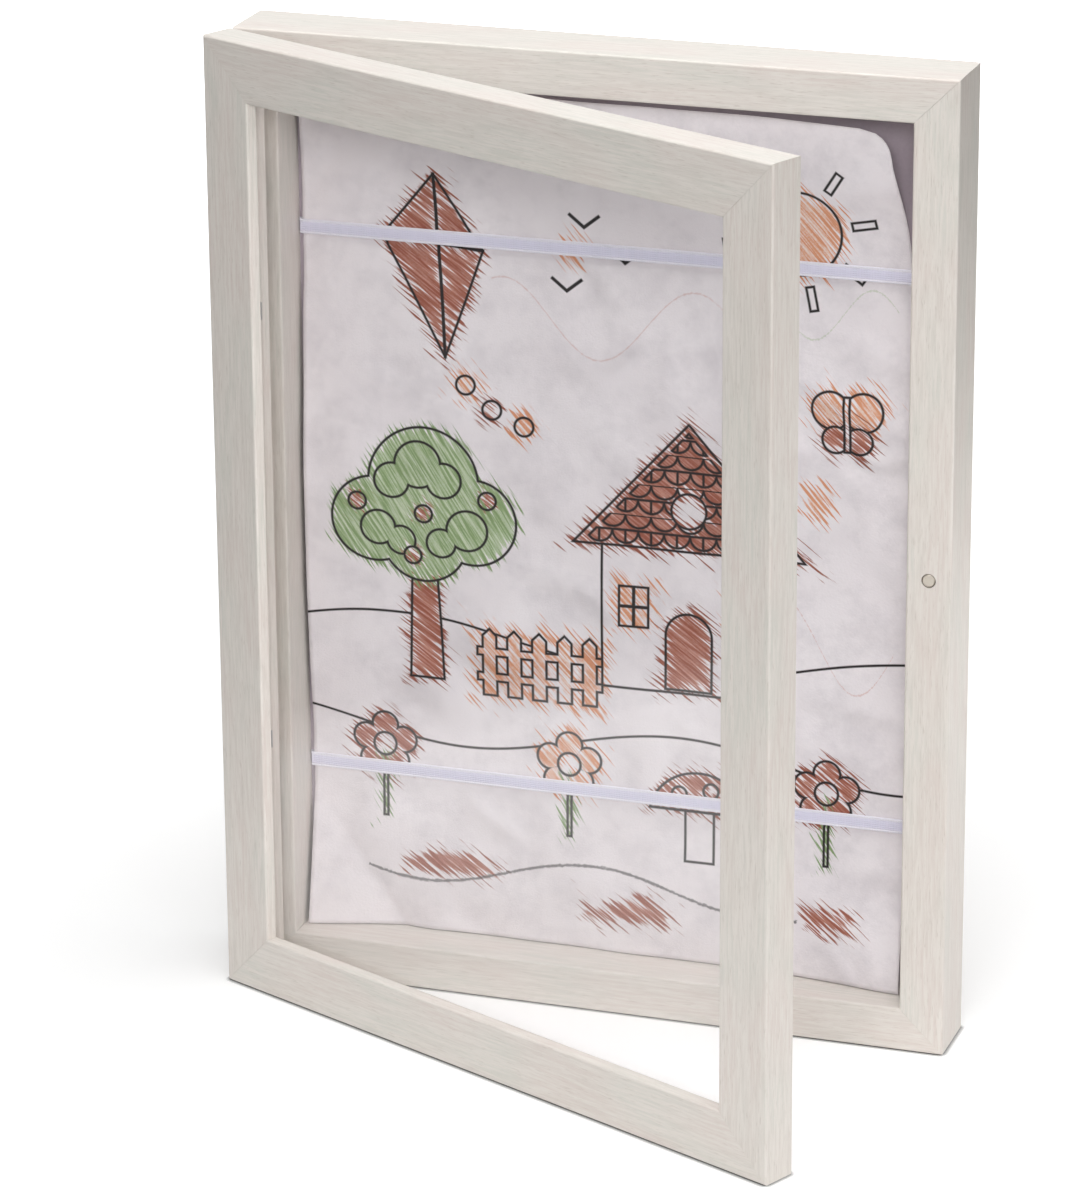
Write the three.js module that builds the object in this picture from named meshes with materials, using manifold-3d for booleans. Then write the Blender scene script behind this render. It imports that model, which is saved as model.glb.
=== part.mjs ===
// Children's art frame: a shallow display box with a glazed door hinged down its left side.
// One A4 drawing stands in the box, held against the back panel by two elastic straps, and the
// door swings out towards the room so that the drawing can be changed from the front.
// Millimetres, +Z up, +X to the right as the viewer sees it. The room is on the -Y side.
// The origin is under the middle of the box's bottom rail, on the shelf that it stands on.

import * as THREE from 'three';
import { mergeVertices } from 'three/addons/utils/BufferGeometryUtils.js';
import Module from 'manifold-3d';

const wasm = await Module();
wasm.setup();

// The drawing: one A4 sheet, upright, with room to drop it into the case. It isn't flat, so it
// spans a little less than it measures, and it lies nearer the case's left side.
const SHEET_W = 210;
const SHEET_H = 297;
const SHEET_T = 0.5;
const SHEET_SIDE_ROOM = 2;
const SHEET_TOP_ROOM = 5;
const SHEET_LEFT_ROOM = 1.4;
const BOW_TAKES_W = 0.5;
const BOW_TAKES_H = 0.5;

// The box moulding: its flat front face, its depth and the rebate behind that takes the panel.
const BOX_FACE = 15;
const BOX_D = 25;
const BOX_REBATE_W = 5;
const CASE_D = 18;

// The door moulding: wider in front than the box's, with a lip that the pane lies behind.
const DOOR_FACE = 20;
const DOOR_T = 12.5;
const DOOR_LIP = 4;
const DOOR_REBATE_W = 5;
const DOOR_OPEN_DEG = 24.5;
const PARTING_GAP = 0.5;

// Both mouldings are wrapped in foil, which rounds their front edges a little.
const ARRIS_R = 0.8;
const MITRE_GAP = 0.05;

// General gaps: between pieces that rest on each other, and round what is let into wood.
const REST_GAP = 0.3;
const LET_IN_GAP = 0.2;

const PANEL_T = 3;
const PANEL_FIT = 0.5;
const PANE_T = 1.5;
const PANE_FIT = 0.5;

// Elastic straps, turned round the panel's edges and stapled behind it.
const STRAP_W = 5;
const STRAP_T = 0.8;
const STRAP_TOP_DROP = 55;
const STRAP_BOTTOM_RISE = 58;
const STRAP_TAIL = 12;
const STAPLE_WIRE = 0.6;
const STAPLE_LEG = 2;
const STAPLE_SET_IN = 6;

// How far the paper stands off the panel where it isn't under a strap, and how far that reaches.
// The lower left corner is folded forward along a straight crease, and the others are curled.
const FLAP_LIFT = 8.2;
const FLAP_W = 33;
const FLAP_H = 48;
const RIGHT_CORNER_LIFT = 7;
const RIGHT_CORNER_REACH = 30;
const LEFT_EDGE_BOW = 4.5;
const LEFT_EDGE_REACH = 44;
const LEFT_EDGE_SPAN = 58;
const TOP_CORNER_LIFT = 9;
const TOP_CORNER_REACH_W = 38;
const TOP_CORNER_REACH_H = 34;
const TOP_EDGE_LIFT = 1.5;
const TOP_EDGE_REACH = 24;
const RIPPLE = 1;
const RIPPLE_LENGTH = 150;
const STRAP_HOLD = 15;
// The worn top right corner: how far its side leans in, over what height, and its rounding.
const LEAN_W = 5.8;
const LEAN_H = 51;
const CORNER_R = 11;
const CORNER_STEPS = 8;
const SHEET_COLUMNS = 22;
const SHEET_ROWS = 36;

// Butt hinges: leaves let flush into both frames, barrels standing outside the left edge.
const HINGE_INSET = 60;
const LEAF_W = 9;
const LEAF_H = 38;
const LEAF_T = 0.8;
const KNUCKLES = 5;
const KNUCKLE_R = 2;
const KNUCKLE_GAP = 0.3;
const BARREL_STANDOFF = 0.2;
const PIN_R = 0.9;
const PIN_HEAD_R = 1.5;
const PIN_HEAD_H = 0.8;
const SCREW_END_INSET = 7;
const SCREW_R = 1;
const SCREW_HEAD_R = 2;
const SCREW_HEAD_H = 1.1;
const SCREW_L = 9;

// Button magnets that hold the door shut, one in each frame, half way up the right side.
const MAGNET_R = 2.2;
const MAGNET_T = 2;
const MAGNET_EDGE = 0.25;

// Steel pieces pushed into the mouldings: corner nails, panel tabs and pane points.
const VNAIL_LEG = 5;
const VNAIL_T = 0.5;
const VNAIL_H = 7;
const VNAIL_INSET = 3;
const TAB_W = 8;
const TAB_T = 0.6;
const TAB_REACH = 6;
const TAB_BITE = 5;
const TAB_SPREAD = 112;
const POINT_W = 6;
const POINT_T = 0.5;
const POINT_REACH = 3;
const POINT_BITE = 5;
const POINT_SPREAD = 150;

// Sawtooth hangers, for hanging upright or on the side, and the soft stops at the wall.
const HANGER_L = 44;
const HANGER_H = 8;
const HANGER_T = 0.8;
const HANGER_ARCH = 1.2;
const HANGER_FOOT = 9;
const TOOTH_PITCH = 2.5;
const TOOTH_D = 1.6;
const TEETH = 7;
const NAIL_R = 0.6;
const NAIL_L = 7;
const NAIL_HEAD_R = 1.5;
const NAIL_HEAD_H = 0.6;
const STOP_R = 4;
const STOP_T = 2.4;
const STOP_EDGE = 1.2;
const STOP_INSET = 16;

// Sizes that follow from the ones above.
const CASE_W = SHEET_W + 2 * SHEET_SIDE_ROOM;
const CASE_H = SHEET_H + SHEET_TOP_ROOM;
const FRAME_W = CASE_W + 2 * BOX_FACE;
const FRAME_H = CASE_H + 2 * BOX_FACE;
const LEFT = -FRAME_W / 2;
const RIGHT = FRAME_W / 2;
const MID_Z = FRAME_H / 2;
const REAR_FACE = BOX_FACE - BOX_REBATE_W;
const BOX_FRONT = -BOX_D / 2;
const BOX_BACK = BOX_D / 2;
const PANEL_FRONT = BOX_FRONT + CASE_D;
const PANEL_BACK = PANEL_FRONT + PANEL_T;
const PANEL_W = CASE_W + 2 * (BOX_REBATE_W - PANEL_FIT);
const PANEL_H = CASE_H + 2 * (BOX_REBATE_W - PANEL_FIT);
const DOOR_BACK = BOX_FRONT - PARTING_GAP;
const DOOR_FRONT = DOOR_BACK - DOOR_T;
const LIP_BACK = DOOR_FRONT + DOOR_LIP;
const PANE_W = FRAME_W - 2 * (DOOR_FACE - DOOR_REBATE_W + PANE_FIT);
const PANE_H = FRAME_H - 2 * (DOOR_FACE - DOOR_REBATE_W + PANE_FIT);
const PANE_FRONT = LIP_BACK + REST_GAP;
const PANE_BACK = PANE_FRONT + PANE_T;
const SHEET_BACK = PANEL_FRONT - REST_GAP;
const SHEET_BOTTOM = BOX_FACE + REST_GAP;
const SPAN_W = SHEET_W - BOW_TAKES_W;
const SPAN_H = SHEET_H - BOW_TAKES_H;
const SHEET_LEFT = -CASE_W / 2 + SHEET_LEFT_ROOM;
const SHEET_RIGHT = SHEET_LEFT + SPAN_W;
const SHEET_TOP = SHEET_BOTTOM + SPAN_H;
const STRAP_HEIGHTS = {
  top: BOX_FACE + CASE_H - STRAP_TOP_DROP,
  bottom: BOX_FACE + STRAP_BOTTOM_RISE,
};
const HINGE_HEIGHTS = { top: FRAME_H - HINGE_INSET, bottom: HINGE_INSET };
const BARREL_X = LEFT - KNUCKLE_R - BARREL_STANDOFF;
const BARREL_Y = (BOX_FRONT + DOOR_BACK) / 2;
const SCREW_X = LEFT + LEAF_W / 2;
const MAGNET_X = RIGHT - BOX_FACE / 2;

const ROUND = 24;
const SMALL_ROUND = 16;
const OVERSHOOT = 1;
const X = new THREE.Vector3(1, 0, 0);
const Y = new THREE.Vector3(0, 1, 0);
const Z = new THREE.Vector3(0, 0, 1);

const foil = new THREE.MeshStandardMaterial({ color: '#dcd6ce', roughness: 0.62 });
const board = new THREE.MeshStandardMaterial({ color: '#a79ca4', roughness: 0.85 });
const acrylic = new THREE.MeshStandardMaterial({
  color: '#f4f8f8', roughness: 0.05, transparent: true, opacity: 0.2,
});
const paper = new THREE.MeshStandardMaterial({ color: '#dcd8da', roughness: 0.9 });
const elastic = new THREE.MeshStandardMaterial({ color: '#d2cfe2', roughness: 0.8 });
const steel = new THREE.MeshStandardMaterial({ color: '#b9b9b6', metalness: 1, roughness: 0.35 });
const nickel = new THREE.MeshStandardMaterial({ color: '#b5ada2', metalness: 1, roughness: 0.3 });
const rubber = new THREE.MeshStandardMaterial({ color: '#e6e6e4', roughness: 0.7 });

// A closed geometry as a solid that can be cut and joined, and the way back.
function solid(geometry) {
  geometry.deleteAttribute('normal');
  geometry.deleteAttribute('uv');
  const merged = mergeVertices(geometry);
  return new wasm.Manifold(new wasm.Mesh({
    numProp: 3,
    vertProperties: Float32Array.from(merged.attributes.position.array),
    triVerts: Uint32Array.from(merged.index.array),
  }));
}

function geometryOf(body) {
  const mesh = body.getMesh();
  const geometry = new THREE.BufferGeometry();
  geometry.setAttribute('position', new THREE.BufferAttribute(mesh.vertProperties, 3));
  geometry.setIndex(new THREE.BufferAttribute(mesh.triVerts, 1));
  geometry.computeVertexNormals();
  return geometry;
}

function cut(body, cutters) {
  return cutters.reduce((left, cutter) => left.subtract(cutter), body);
}

// A block between two corners.
function block(x0, x1, y0, y1, z0, z1) {
  const box = new THREE.BoxGeometry(x1 - x0, y1 - y0, z1 - z0);
  return solid(box.translate((x0 + x1) / 2, (y0 + y1) / 2, (z0 + z1) / 2));
}

// A closed outline of [a, b] points, pushed through a depth along across x up.
function prism(points, depth, across, up, origin) {
  const outline = new THREE.Shape(points.map(([a, b]) => new THREE.Vector2(a, b)));
  const geometry = new THREE.ExtrudeGeometry(outline, { depth, bevelEnabled: false });
  const along = new THREE.Vector3().crossVectors(across, up);
  const place = new THREE.Matrix4().makeBasis(across, up, along).setPosition(...origin);
  return solid(geometry.applyMatrix4(place));
}

// A turned piece: [radius, height] points from its foot up, standing along +Y at x, z.
function turned(points, x, z, segments) {
  const outline = points.map(([r, h]) => new THREE.Vector2(r, h));
  return solid(new THREE.LatheGeometry(outline, segments).translate(x, 0, z));
}

// A round bar along Y, for pilot holes and pockets.
function barY(radius, y0, y1, x, z, segments = SMALL_ROUND) {
  const bar = new THREE.CylinderGeometry(radius, radius, y1 - y0, segments);
  return solid(bar.translate(x, (y0 + y1) / 2, z));
}

// A round bar along Z, for the hinge barrels.
function barZ(radius, z0, z1) {
  const bar = new THREE.CylinderGeometry(radius, radius, z1 - z0, ROUND);
  return solid(bar.rotateX(Math.PI / 2).translate(BARREL_X, BARREL_Y, (z0 + z1) / 2));
}

// A moulding's section: u runs from the frame's outer edge inwards, v from front to back.
function mouldingSection(face, front, back, rebateWidth, rebateFront) {
  const section = new THREE.Shape();
  section.moveTo(ARRIS_R, front);
  section.lineTo(face - ARRIS_R, front);
  section.absarc(face - ARRIS_R, front + ARRIS_R, ARRIS_R, -Math.PI / 2, 0, false);
  section.lineTo(face, rebateFront);
  section.lineTo(face - rebateWidth, rebateFront);
  section.lineTo(face - rebateWidth, back);
  section.lineTo(0, back);
  section.lineTo(0, front + ARRIS_R);
  section.absarc(ARRIS_R, front + ARRIS_R, ARRIS_R, Math.PI, Math.PI * 1.5, false);
  return section;
}

// Where each rail starts and which way its section's u axis points.
const SIDES = {
  bottom: { length: FRAME_W, inwards: Z, start: [RIGHT, 0, 0] },
  top: { length: FRAME_W, inwards: Z.clone().negate(), start: [LEFT, 0, FRAME_H] },
  left: { length: FRAME_H, inwards: X, start: [LEFT, 0, 0] },
  right: { length: FRAME_H, inwards: X.clone().negate(), start: [RIGHT, 0, FRAME_H] },
};

// One side of a frame: the section pushed along its side, with both ends slanted to the mitre.
function mitredRail(section, side) {
  const { length, inwards, start } = SIDES[side];
  const rail = new THREE.ExtrudeGeometry(section, {
    depth: length, bevelEnabled: false, curveSegments: 4,
  });
  const points = rail.attributes.position;
  for (let i = 0; i < points.count; i += 1) {
    const setBack = points.getX(i) + MITRE_GAP / Math.SQRT2;
    points.setZ(i, points.getZ(i) > length / 2 ? length - setBack : setBack);
  }
  const along = new THREE.Vector3().crossVectors(inwards, Y);
  rail.applyMatrix4(new THREE.Matrix4().makeBasis(inwards, Y, along).setPosition(...start));
  return solid(rail);
}

// Adds a finished piece to its frame's group under the name that a person would give it.
function add(group, name, body, material) {
  const mesh = new THREE.Mesh(geometryOf(body), material);
  mesh.name = name;
  group.add(mesh);
}

// The outline of a band of even thickness that follows a centre line with square bends.
function bandOutline(line, thickness) {
  const half = thickness / 2;
  const side = (sign) => line.map(([x, y], i) => {
    const before = line[Math.max(i - 1, 0)];
    const after = line[Math.min(i + 1, line.length - 1)];
    const into = new THREE.Vector2(x - before[0], y - before[1]).normalize();
    const out = new THREE.Vector2(after[0] - x, after[1] - y).normalize();
    if (i === 0) into.copy(out);
    if (i === line.length - 1) out.copy(into);
    const normal = new THREE.Vector2(-into.y - out.y, into.x + out.x).normalize();
    const reach = half / (normal.x * -into.y + normal.y * into.x);
    return [x + sign * normal.x * reach, y + sign * normal.y * reach];
  });
  return [...side(1), ...side(-1).reverse()];
}

// Corner nails: V-shaped steel strips driven into the back of each mitre, a leg in each rail.
const CORNERS = {
  bottom_left: { x: LEFT, z: 0, inX: 1, inZ: 1, rails: ['bottom', 'left'] },
  bottom_right: { x: RIGHT, z: 0, inX: -1, inZ: 1, rails: ['bottom', 'right'] },
  top_left: { x: LEFT, z: FRAME_H, inX: 1, inZ: -1, rails: ['top', 'left'] },
  top_right: { x: RIGHT, z: FRAME_H, inX: -1, inZ: -1, rails: ['top', 'right'] },
};

function cornerNail(corner, back, grow) {
  const { x, z, inX, inZ } = CORNERS[corner];
  const outer = VNAIL_INSET - grow;
  const inner = VNAIL_INSET + VNAIL_T + grow;
  const tip = VNAIL_INSET + VNAIL_LEG + grow;
  const plan = [
    [outer, outer], [outer, tip], [inner, tip], [inner, inner], [tip, inner], [tip, outer],
  ];
  const points = plan.map(([a, b]) => [z + inZ * a, x + inX * b]);
  const front = back - VNAIL_H - grow;
  return prism(points, back - front + (grow > 0 ? OVERSHOOT : -LET_IN_GAP), Z, X, [0, front, 0]);
}

function cornerNailSlots(side, back) {
  return Object.keys(CORNERS)
    .filter((corner) => CORNERS[corner].rails.includes(side))
    .map((corner) => cornerNail(corner, back, LET_IN_GAP));
}

// A flat steel tab pushed sideways into a rebate wall, standing over what it holds in.
function tab(size, side, wall, along, front, grow) {
  const inwards = SIDES[side].inwards;
  const halfWidth = size.width / 2 + grow;
  const outer = -size.bite - grow;
  const outline = [
    [outer, 0], [outer / 2, halfWidth], [size.reach, halfWidth],
    [size.reach, -halfWidth], [outer / 2, -halfWidth],
  ];
  const across = new THREE.Vector3().crossVectors(inwards, Y);
  const start = inwards.clone().multiplyScalar(wall);
  const centre = inwards.x === 0 ? new THREE.Vector3(along, 0, 0) : new THREE.Vector3(0, 0, along);
  const frameSide = new THREE.Vector3(
    inwards.x === 0 ? 0 : -inwards.x * FRAME_W / 2, 0, inwards.z < 0 ? FRAME_H : 0,
  );
  const origin = centre.add(frameSide).add(start).setY(front - grow);
  return prism(
    outline.map(([a, b]) => [b, a]), size.thickness + 2 * grow, across, inwards,
    origin.toArray(),
  );
}

const PANEL_TAB = { width: TAB_W, thickness: TAB_T, reach: TAB_REACH, bite: TAB_BITE };
const PANE_POINT = { width: POINT_W, thickness: POINT_T, reach: POINT_REACH, bite: POINT_BITE };
const PANE_POINT_WALL = DOOR_FACE - DOOR_REBATE_W;
const PANEL_TABS = {
  panel_tab_left_low: ['left', MID_Z - TAB_SPREAD / 2],
  panel_tab_left_high: ['left', MID_Z + TAB_SPREAD / 2],
  panel_tab_right_low: ['right', MID_Z - TAB_SPREAD / 2],
  panel_tab_right_high: ['right', MID_Z + TAB_SPREAD / 2],
  panel_tab_bottom: ['bottom', 0],
  panel_tab_top: ['top', 0],
};
const PANE_POINTS = {
  pane_point_left_low: ['left', MID_Z - POINT_SPREAD / 2],
  pane_point_left_high: ['left', MID_Z + POINT_SPREAD / 2],
  pane_point_right_low: ['right', MID_Z - POINT_SPREAD / 2],
  pane_point_right_high: ['right', MID_Z + POINT_SPREAD / 2],
};

function panelTab(name, grow) {
  const [side, along] = PANEL_TABS[name];
  return tab(PANEL_TAB, side, REAR_FACE, along, PANEL_BACK + LET_IN_GAP, grow);
}

function panePoint(name, grow) {
  const [side, along] = PANE_POINTS[name];
  return tab(PANE_POINT, side, PANE_POINT_WALL, along, PANE_BACK + REST_GAP, grow);
}

function tabSlots(tabs, make, side) {
  return Object.keys(tabs)
    .filter((name) => tabs[name][0] === side)
    .map((name) => make(name, LET_IN_GAP));
}

// A countersunk wood screw. Its head is at the given face and it points along -Y or +Y.
function screw(face, into, x, z, grow) {
  const length = SCREW_L + grow;
  const outline = [
    [0, 0], [SCREW_HEAD_R + grow, 0], [SCREW_R + grow, SCREW_HEAD_H],
    [SCREW_R + grow, length - SCREW_R], [0, length],
  ];
  const points = outline.map(([r, depth]) => [r, face + into * depth]);
  return turned(into > 0 ? points : points.reverse(), x, z, SMALL_ROUND);
}

function screwHeights(hinge) {
  const middle = HINGE_HEIGHTS[hinge];
  const reach = LEAF_H / 2 - SCREW_END_INSET;
  return { low: middle - reach, high: middle + reach };
}

// The pocket for a hinge leaf and the holes for its screws, in either left stile.
function hingeSeat(hinge, face, into) {
  const middle = HINGE_HEIGHTS[hinge];
  const half = LEAF_H / 2 + LET_IN_GAP;
  const floor = face + into * (LEAF_T + LET_IN_GAP);
  const mouth = face - into * OVERSHOOT;
  const pocket = block(
    LEFT - OVERSHOOT, LEFT + LEAF_W + LET_IN_GAP,
    Math.min(floor, mouth), Math.max(floor, mouth), middle - half, middle + half,
  );
  const holes = Object.values(screwHeights(hinge))
    .map((z) => screw(face, into, SCREW_X, z, LET_IN_GAP));
  return [pocket, ...holes];
}

// A hinge leaf: a flat plate that runs into every second knuckle of the barrel.
function hingeLeaf(hinge, face, into, firstKnuckle) {
  const middle = HINGE_HEIGHTS[hinge];
  const foot = middle - LEAF_H / 2;
  const step = LEAF_H / KNUCKLES;
  const back = face + into * LEAF_T;
  let leaf = block(
    BARREL_X, LEFT + LEAF_W, Math.min(face, back), Math.max(face, back),
    foot + KNUCKLE_GAP / 2, foot + LEAF_H - KNUCKLE_GAP / 2,
  );
  for (let i = 0; i < KNUCKLES; i += 1) {
    const low = foot + i * step;
    const high = low + step;
    const half = KNUCKLE_GAP / 2;
    leaf = i % 2 === firstKnuckle
      ? leaf.add(barZ(KNUCKLE_R, low + half, high - half))
      : leaf.subtract(barZ(KNUCKLE_R + BARREL_STANDOFF, low - half, high + half));
  }
  const bore = barZ(PIN_R + LET_IN_GAP, foot - OVERSHOOT, foot + LEAF_H + OVERSHOOT);
  const holes = Object.values(screwHeights(hinge))
    .map((z) => screw(face, into, SCREW_X, z, LET_IN_GAP));
  return cut(leaf, [bore, ...holes]);
}

function hingePin(hinge) {
  const foot = HINGE_HEIGHTS[hinge] - LEAF_H / 2;
  const neck = foot + LEAF_H + KNUCKLE_GAP / 2;
  const outline = [
    [0, foot], [PIN_R, foot], [PIN_R, neck], [PIN_HEAD_R, neck],
    [PIN_HEAD_R, neck + PIN_HEAD_H / 2], [PIN_HEAD_R / 2, neck + PIN_HEAD_H],
    [0, neck + PIN_HEAD_H],
  ];
  const points = outline.map(([r, h]) => new THREE.Vector2(r, h));
  const pin = new THREE.LatheGeometry(points, SMALL_ROUND).rotateX(Math.PI / 2);
  return solid(pin.translate(BARREL_X, BARREL_Y, 0));
}

// A button magnet with broken edges, let in flush with a face.
function magnet(face, into) {
  const flat = MAGNET_R - MAGNET_EDGE;
  const outline = [
    [0, 0], [flat, 0], [MAGNET_R, MAGNET_EDGE], [MAGNET_R, MAGNET_T - MAGNET_EDGE],
    [flat, MAGNET_T], [0, MAGNET_T],
  ];
  const points = outline.map(([r, depth]) => [r, face + into * depth]);
  return turned(into > 0 ? points : points.reverse(), MAGNET_X, MID_Z, ROUND);
}

function magnetPocket(face, into) {
  const floor = face + into * (MAGNET_T + LET_IN_GAP);
  const mouth = face - into * OVERSHOOT;
  return barY(
    MAGNET_R + LET_IN_GAP, Math.min(floor, mouth), Math.max(floor, mouth),
    MAGNET_X, MID_Z, ROUND,
  );
}

// The strap's centre line seen from above: tail, round the panel's edge, up the case wall,
// across the drawing and back to the other tail.
const PANEL_EDGE_X = PANEL_W / 2;
const STRAP_EDGE_X = PANEL_EDGE_X - STRAP_T / 2 - LET_IN_GAP;
const STRAP_WALL_X = CASE_W / 2 - REST_GAP - STRAP_T / 2;
const STRAP_BACK_Y = PANEL_BACK + LET_IN_GAP + STRAP_T / 2;
const STRAP_LANE_Y = PANEL_FRONT + LET_IN_GAP + STRAP_T / 2;
const STRAP_ACROSS_Y = SHEET_BACK - SHEET_T - REST_GAP - STRAP_T / 2;

function strapLine() {
  const end = [
    [STRAP_EDGE_X - STRAP_TAIL, STRAP_BACK_Y], [STRAP_EDGE_X, STRAP_BACK_Y],
    [STRAP_EDGE_X, STRAP_LANE_Y], [STRAP_WALL_X, STRAP_LANE_Y],
    [STRAP_WALL_X, STRAP_ACROSS_Y],
  ];
  return [...end, ...end.map(([x, y]) => [-x, y]).reverse()];
}

// What the panel gives up for one strap end: a lane in its face and a notch in its edge.
function strapSeat(height, sign) {
  const half = STRAP_W / 2 + LET_IN_GAP;
  const laneFloor = PANEL_FRONT + STRAP_T + 2 * LET_IN_GAP;
  const notchFloor = STRAP_EDGE_X - STRAP_T / 2 - LET_IN_GAP;
  const laneEnd = STRAP_WALL_X - STRAP_T / 2 - REST_GAP;
  const outside = PANEL_EDGE_X + OVERSHOOT;
  const span = (a, b) => (sign > 0 ? [a, b] : [-b, -a]);
  return [
    block(
      ...span(laneEnd, outside), PANEL_FRONT - OVERSHOOT, laneFloor, height - half, height + half,
    ),
    block(
      ...span(notchFloor, outside), PANEL_FRONT - OVERSHOOT, PANEL_BACK + OVERSHOOT,
      height - half, height + half,
    ),
  ];
}

// A staple astride a strap's tail, with both legs in the panel.
const STAPLE_X = STRAP_EDGE_X - STAPLE_SET_IN;

function staple(height, sign) {
  const inside = STRAP_W / 2 + LET_IN_GAP;
  const outside = inside + STAPLE_WIRE;
  const tip = PANEL_BACK - STAPLE_LEG;
  const under = PANEL_BACK + LET_IN_GAP + STRAP_T + LET_IN_GAP;
  const crown = under + STAPLE_WIRE;
  const outline = [
    [tip, -outside], [crown, -outside], [crown, outside], [tip, outside],
    [tip, inside], [under, inside], [under, -inside], [tip, -inside],
  ];
  return prism(outline, STAPLE_WIRE, Y, Z, [sign * STAPLE_X - STAPLE_WIRE / 2, 0, height]);
}

function stapleHoles(height, sign) {
  const centre = STRAP_W / 2 + LET_IN_GAP + STAPLE_WIRE / 2;
  const half = STAPLE_WIRE / 2 + LET_IN_GAP / 2;
  return [-centre, centre].map((offset) => block(
    sign * STAPLE_X - half, sign * STAPLE_X + half,
    PANEL_BACK - STAPLE_LEG - LET_IN_GAP, PANEL_BACK + OVERSHOOT,
    height + offset - half, height + offset + half,
  ));
}

// How far the paper stands forward of the panel at a point of the sheet. Straps hold it flat.
function sheetLift(x, z) {
  const near = (distance, reach) => Math.exp(-((distance / reach) ** 2));
  const fromLeft = x - SHEET_LEFT;
  const fromRight = SHEET_RIGHT - x;
  const fromBottom = z - SHEET_BOTTOM;
  const fromTop = SHEET_TOP - z;
  const heldFlat = Object.values(STRAP_HEIGHTS).reduce((free, height) => {
    const away = Math.max(0, Math.abs(z - height) - STRAP_W / 2 - SPAN_H / SHEET_ROWS);
    return free * (1 - near(away, STRAP_HOLD));
  }, 1);
  const wave = Math.sin((x + z / 2) * 2 * Math.PI / RIPPLE_LENGTH);
  const rightCorner = near(fromRight, RIGHT_CORNER_REACH) * near(fromBottom, RIGHT_CORNER_REACH);
  const leftEdge = near(fromLeft, LEFT_EDGE_REACH) * near(z - MID_Z, LEFT_EDGE_SPAN);
  const topCorner = near(fromRight, TOP_CORNER_REACH_W) * near(fromTop, TOP_CORNER_REACH_H);
  const flap = Math.max(0, 1 - fromLeft / FLAP_W - fromBottom / FLAP_H);
  return FLAP_LIFT * flap + heldFlat * (
    RIPPLE * (1 + wave) / 2
    + RIGHT_CORNER_LIFT * rightCorner
    + LEFT_EDGE_BOW * leftEdge
    + TOP_CORNER_LIFT * topCorner
    + TOP_EDGE_LIFT * near(fromTop, TOP_EDGE_REACH)
  );
}

// The drawing: a thin sheet with soft waves, its top right corner worn round by handling.
function drawingSheet() {
  const slab = new THREE.BoxGeometry(SPAN_W, SHEET_T, SPAN_H, SHEET_COLUMNS, 1, SHEET_ROWS);
  slab.translate(
    (SHEET_LEFT + SHEET_RIGHT) / 2, SHEET_BACK - SHEET_T / 2, (SHEET_BOTTOM + SHEET_TOP) / 2,
  );
  const points = slab.attributes.position;
  for (let i = 0; i < points.count; i += 1) {
    points.setY(i, points.getY(i) - sheetLift(points.getX(i), points.getZ(i)));
  }
  const leaning = SHEET_RIGHT - LEAN_W;
  const outline = new THREE.Shape();
  outline.moveTo(SHEET_LEFT, SHEET_BOTTOM);
  outline.lineTo(SHEET_LEFT, SHEET_TOP);
  outline.lineTo(leaning - CORNER_R, SHEET_TOP);
  outline.quadraticCurveTo(leaning, SHEET_TOP, leaning, SHEET_TOP - CORNER_R);
  outline.lineTo(SHEET_RIGHT, SHEET_TOP - LEAN_H);
  outline.lineTo(SHEET_RIGHT, SHEET_BOTTOM);
  const trim = new THREE.ExtrudeGeometry(outline, {
    depth: BOX_D, bevelEnabled: false, curveSegments: CORNER_STEPS,
  });
  trim.applyMatrix4(new THREE.Matrix4().makeBasis(X, Z, Y.clone().negate()));
  trim.translate(0, BOX_BACK, 0);
  return solid(slab).intersect(solid(trim));
}

// A sawtooth hanger: a strip arched off the wood, toothed along its lower edge, nailed at both
// ends. It is drawn lying along X with its back on the frame's back face, centred on x = z = 0.
const HANGER_NAIL_X = HANGER_L / 2 - HANGER_FOOT / 2;

function hanger(turn) {
  const end = HANGER_L / 2;
  const foot = end - HANGER_FOOT;
  const shoulder = foot - HANGER_ARCH;
  const line = [
    [-end, 0], [-foot, 0], [-shoulder, HANGER_ARCH],
    [shoulder, HANGER_ARCH], [foot, 0], [end, 0],
  ];
  const strip = prism(
    bandOutline(line.map(([x, y]) => [x, BOX_BACK + HANGER_T / 2 + y]), HANGER_T),
    HANGER_H, X, Y, [0, 0, -HANGER_H / 2],
  );
  const low = -HANGER_H / 2;
  const teeth = [];
  for (let i = 0; i < TEETH; i += 1) {
    const x = (i - (TEETH - 1) / 2) * TOOTH_PITCH;
    const half = TOOTH_PITCH / 2;
    const notch = [
      [low - OVERSHOOT, x - half], [low, x - half], [low + TOOTH_D, x],
      [low, x + half], [low - OVERSHOOT, x + half],
    ];
    teeth.push(prism(
      notch, HANGER_T + HANGER_ARCH + 2 * OVERSHOOT, Z, X, [0, BOX_BACK - OVERSHOOT / 2, 0],
    ));
  }
  const holes = [-HANGER_NAIL_X, HANGER_NAIL_X].map((x) => barY(
    NAIL_R + LET_IN_GAP, BOX_BACK - OVERSHOOT, BOX_BACK + HANGER_T + OVERSHOOT, x, 0,
  ));
  return geometryTurned(cut(strip, [...teeth, ...holes]), turn);
}

function nail(x, grow) {
  const seat = BOX_BACK + HANGER_T + LET_IN_GAP;
  const tip = seat - NAIL_L - grow;
  const outline = [
    [0, tip], [NAIL_R + grow, tip + NAIL_R], [NAIL_R + grow, seat], [NAIL_HEAD_R, seat],
    [NAIL_HEAD_R, seat + NAIL_HEAD_H / 2], [NAIL_HEAD_R / 2, seat + NAIL_HEAD_H],
    [0, seat + NAIL_HEAD_H],
  ];
  return turned(outline, x, 0, SMALL_ROUND);
}

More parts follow.
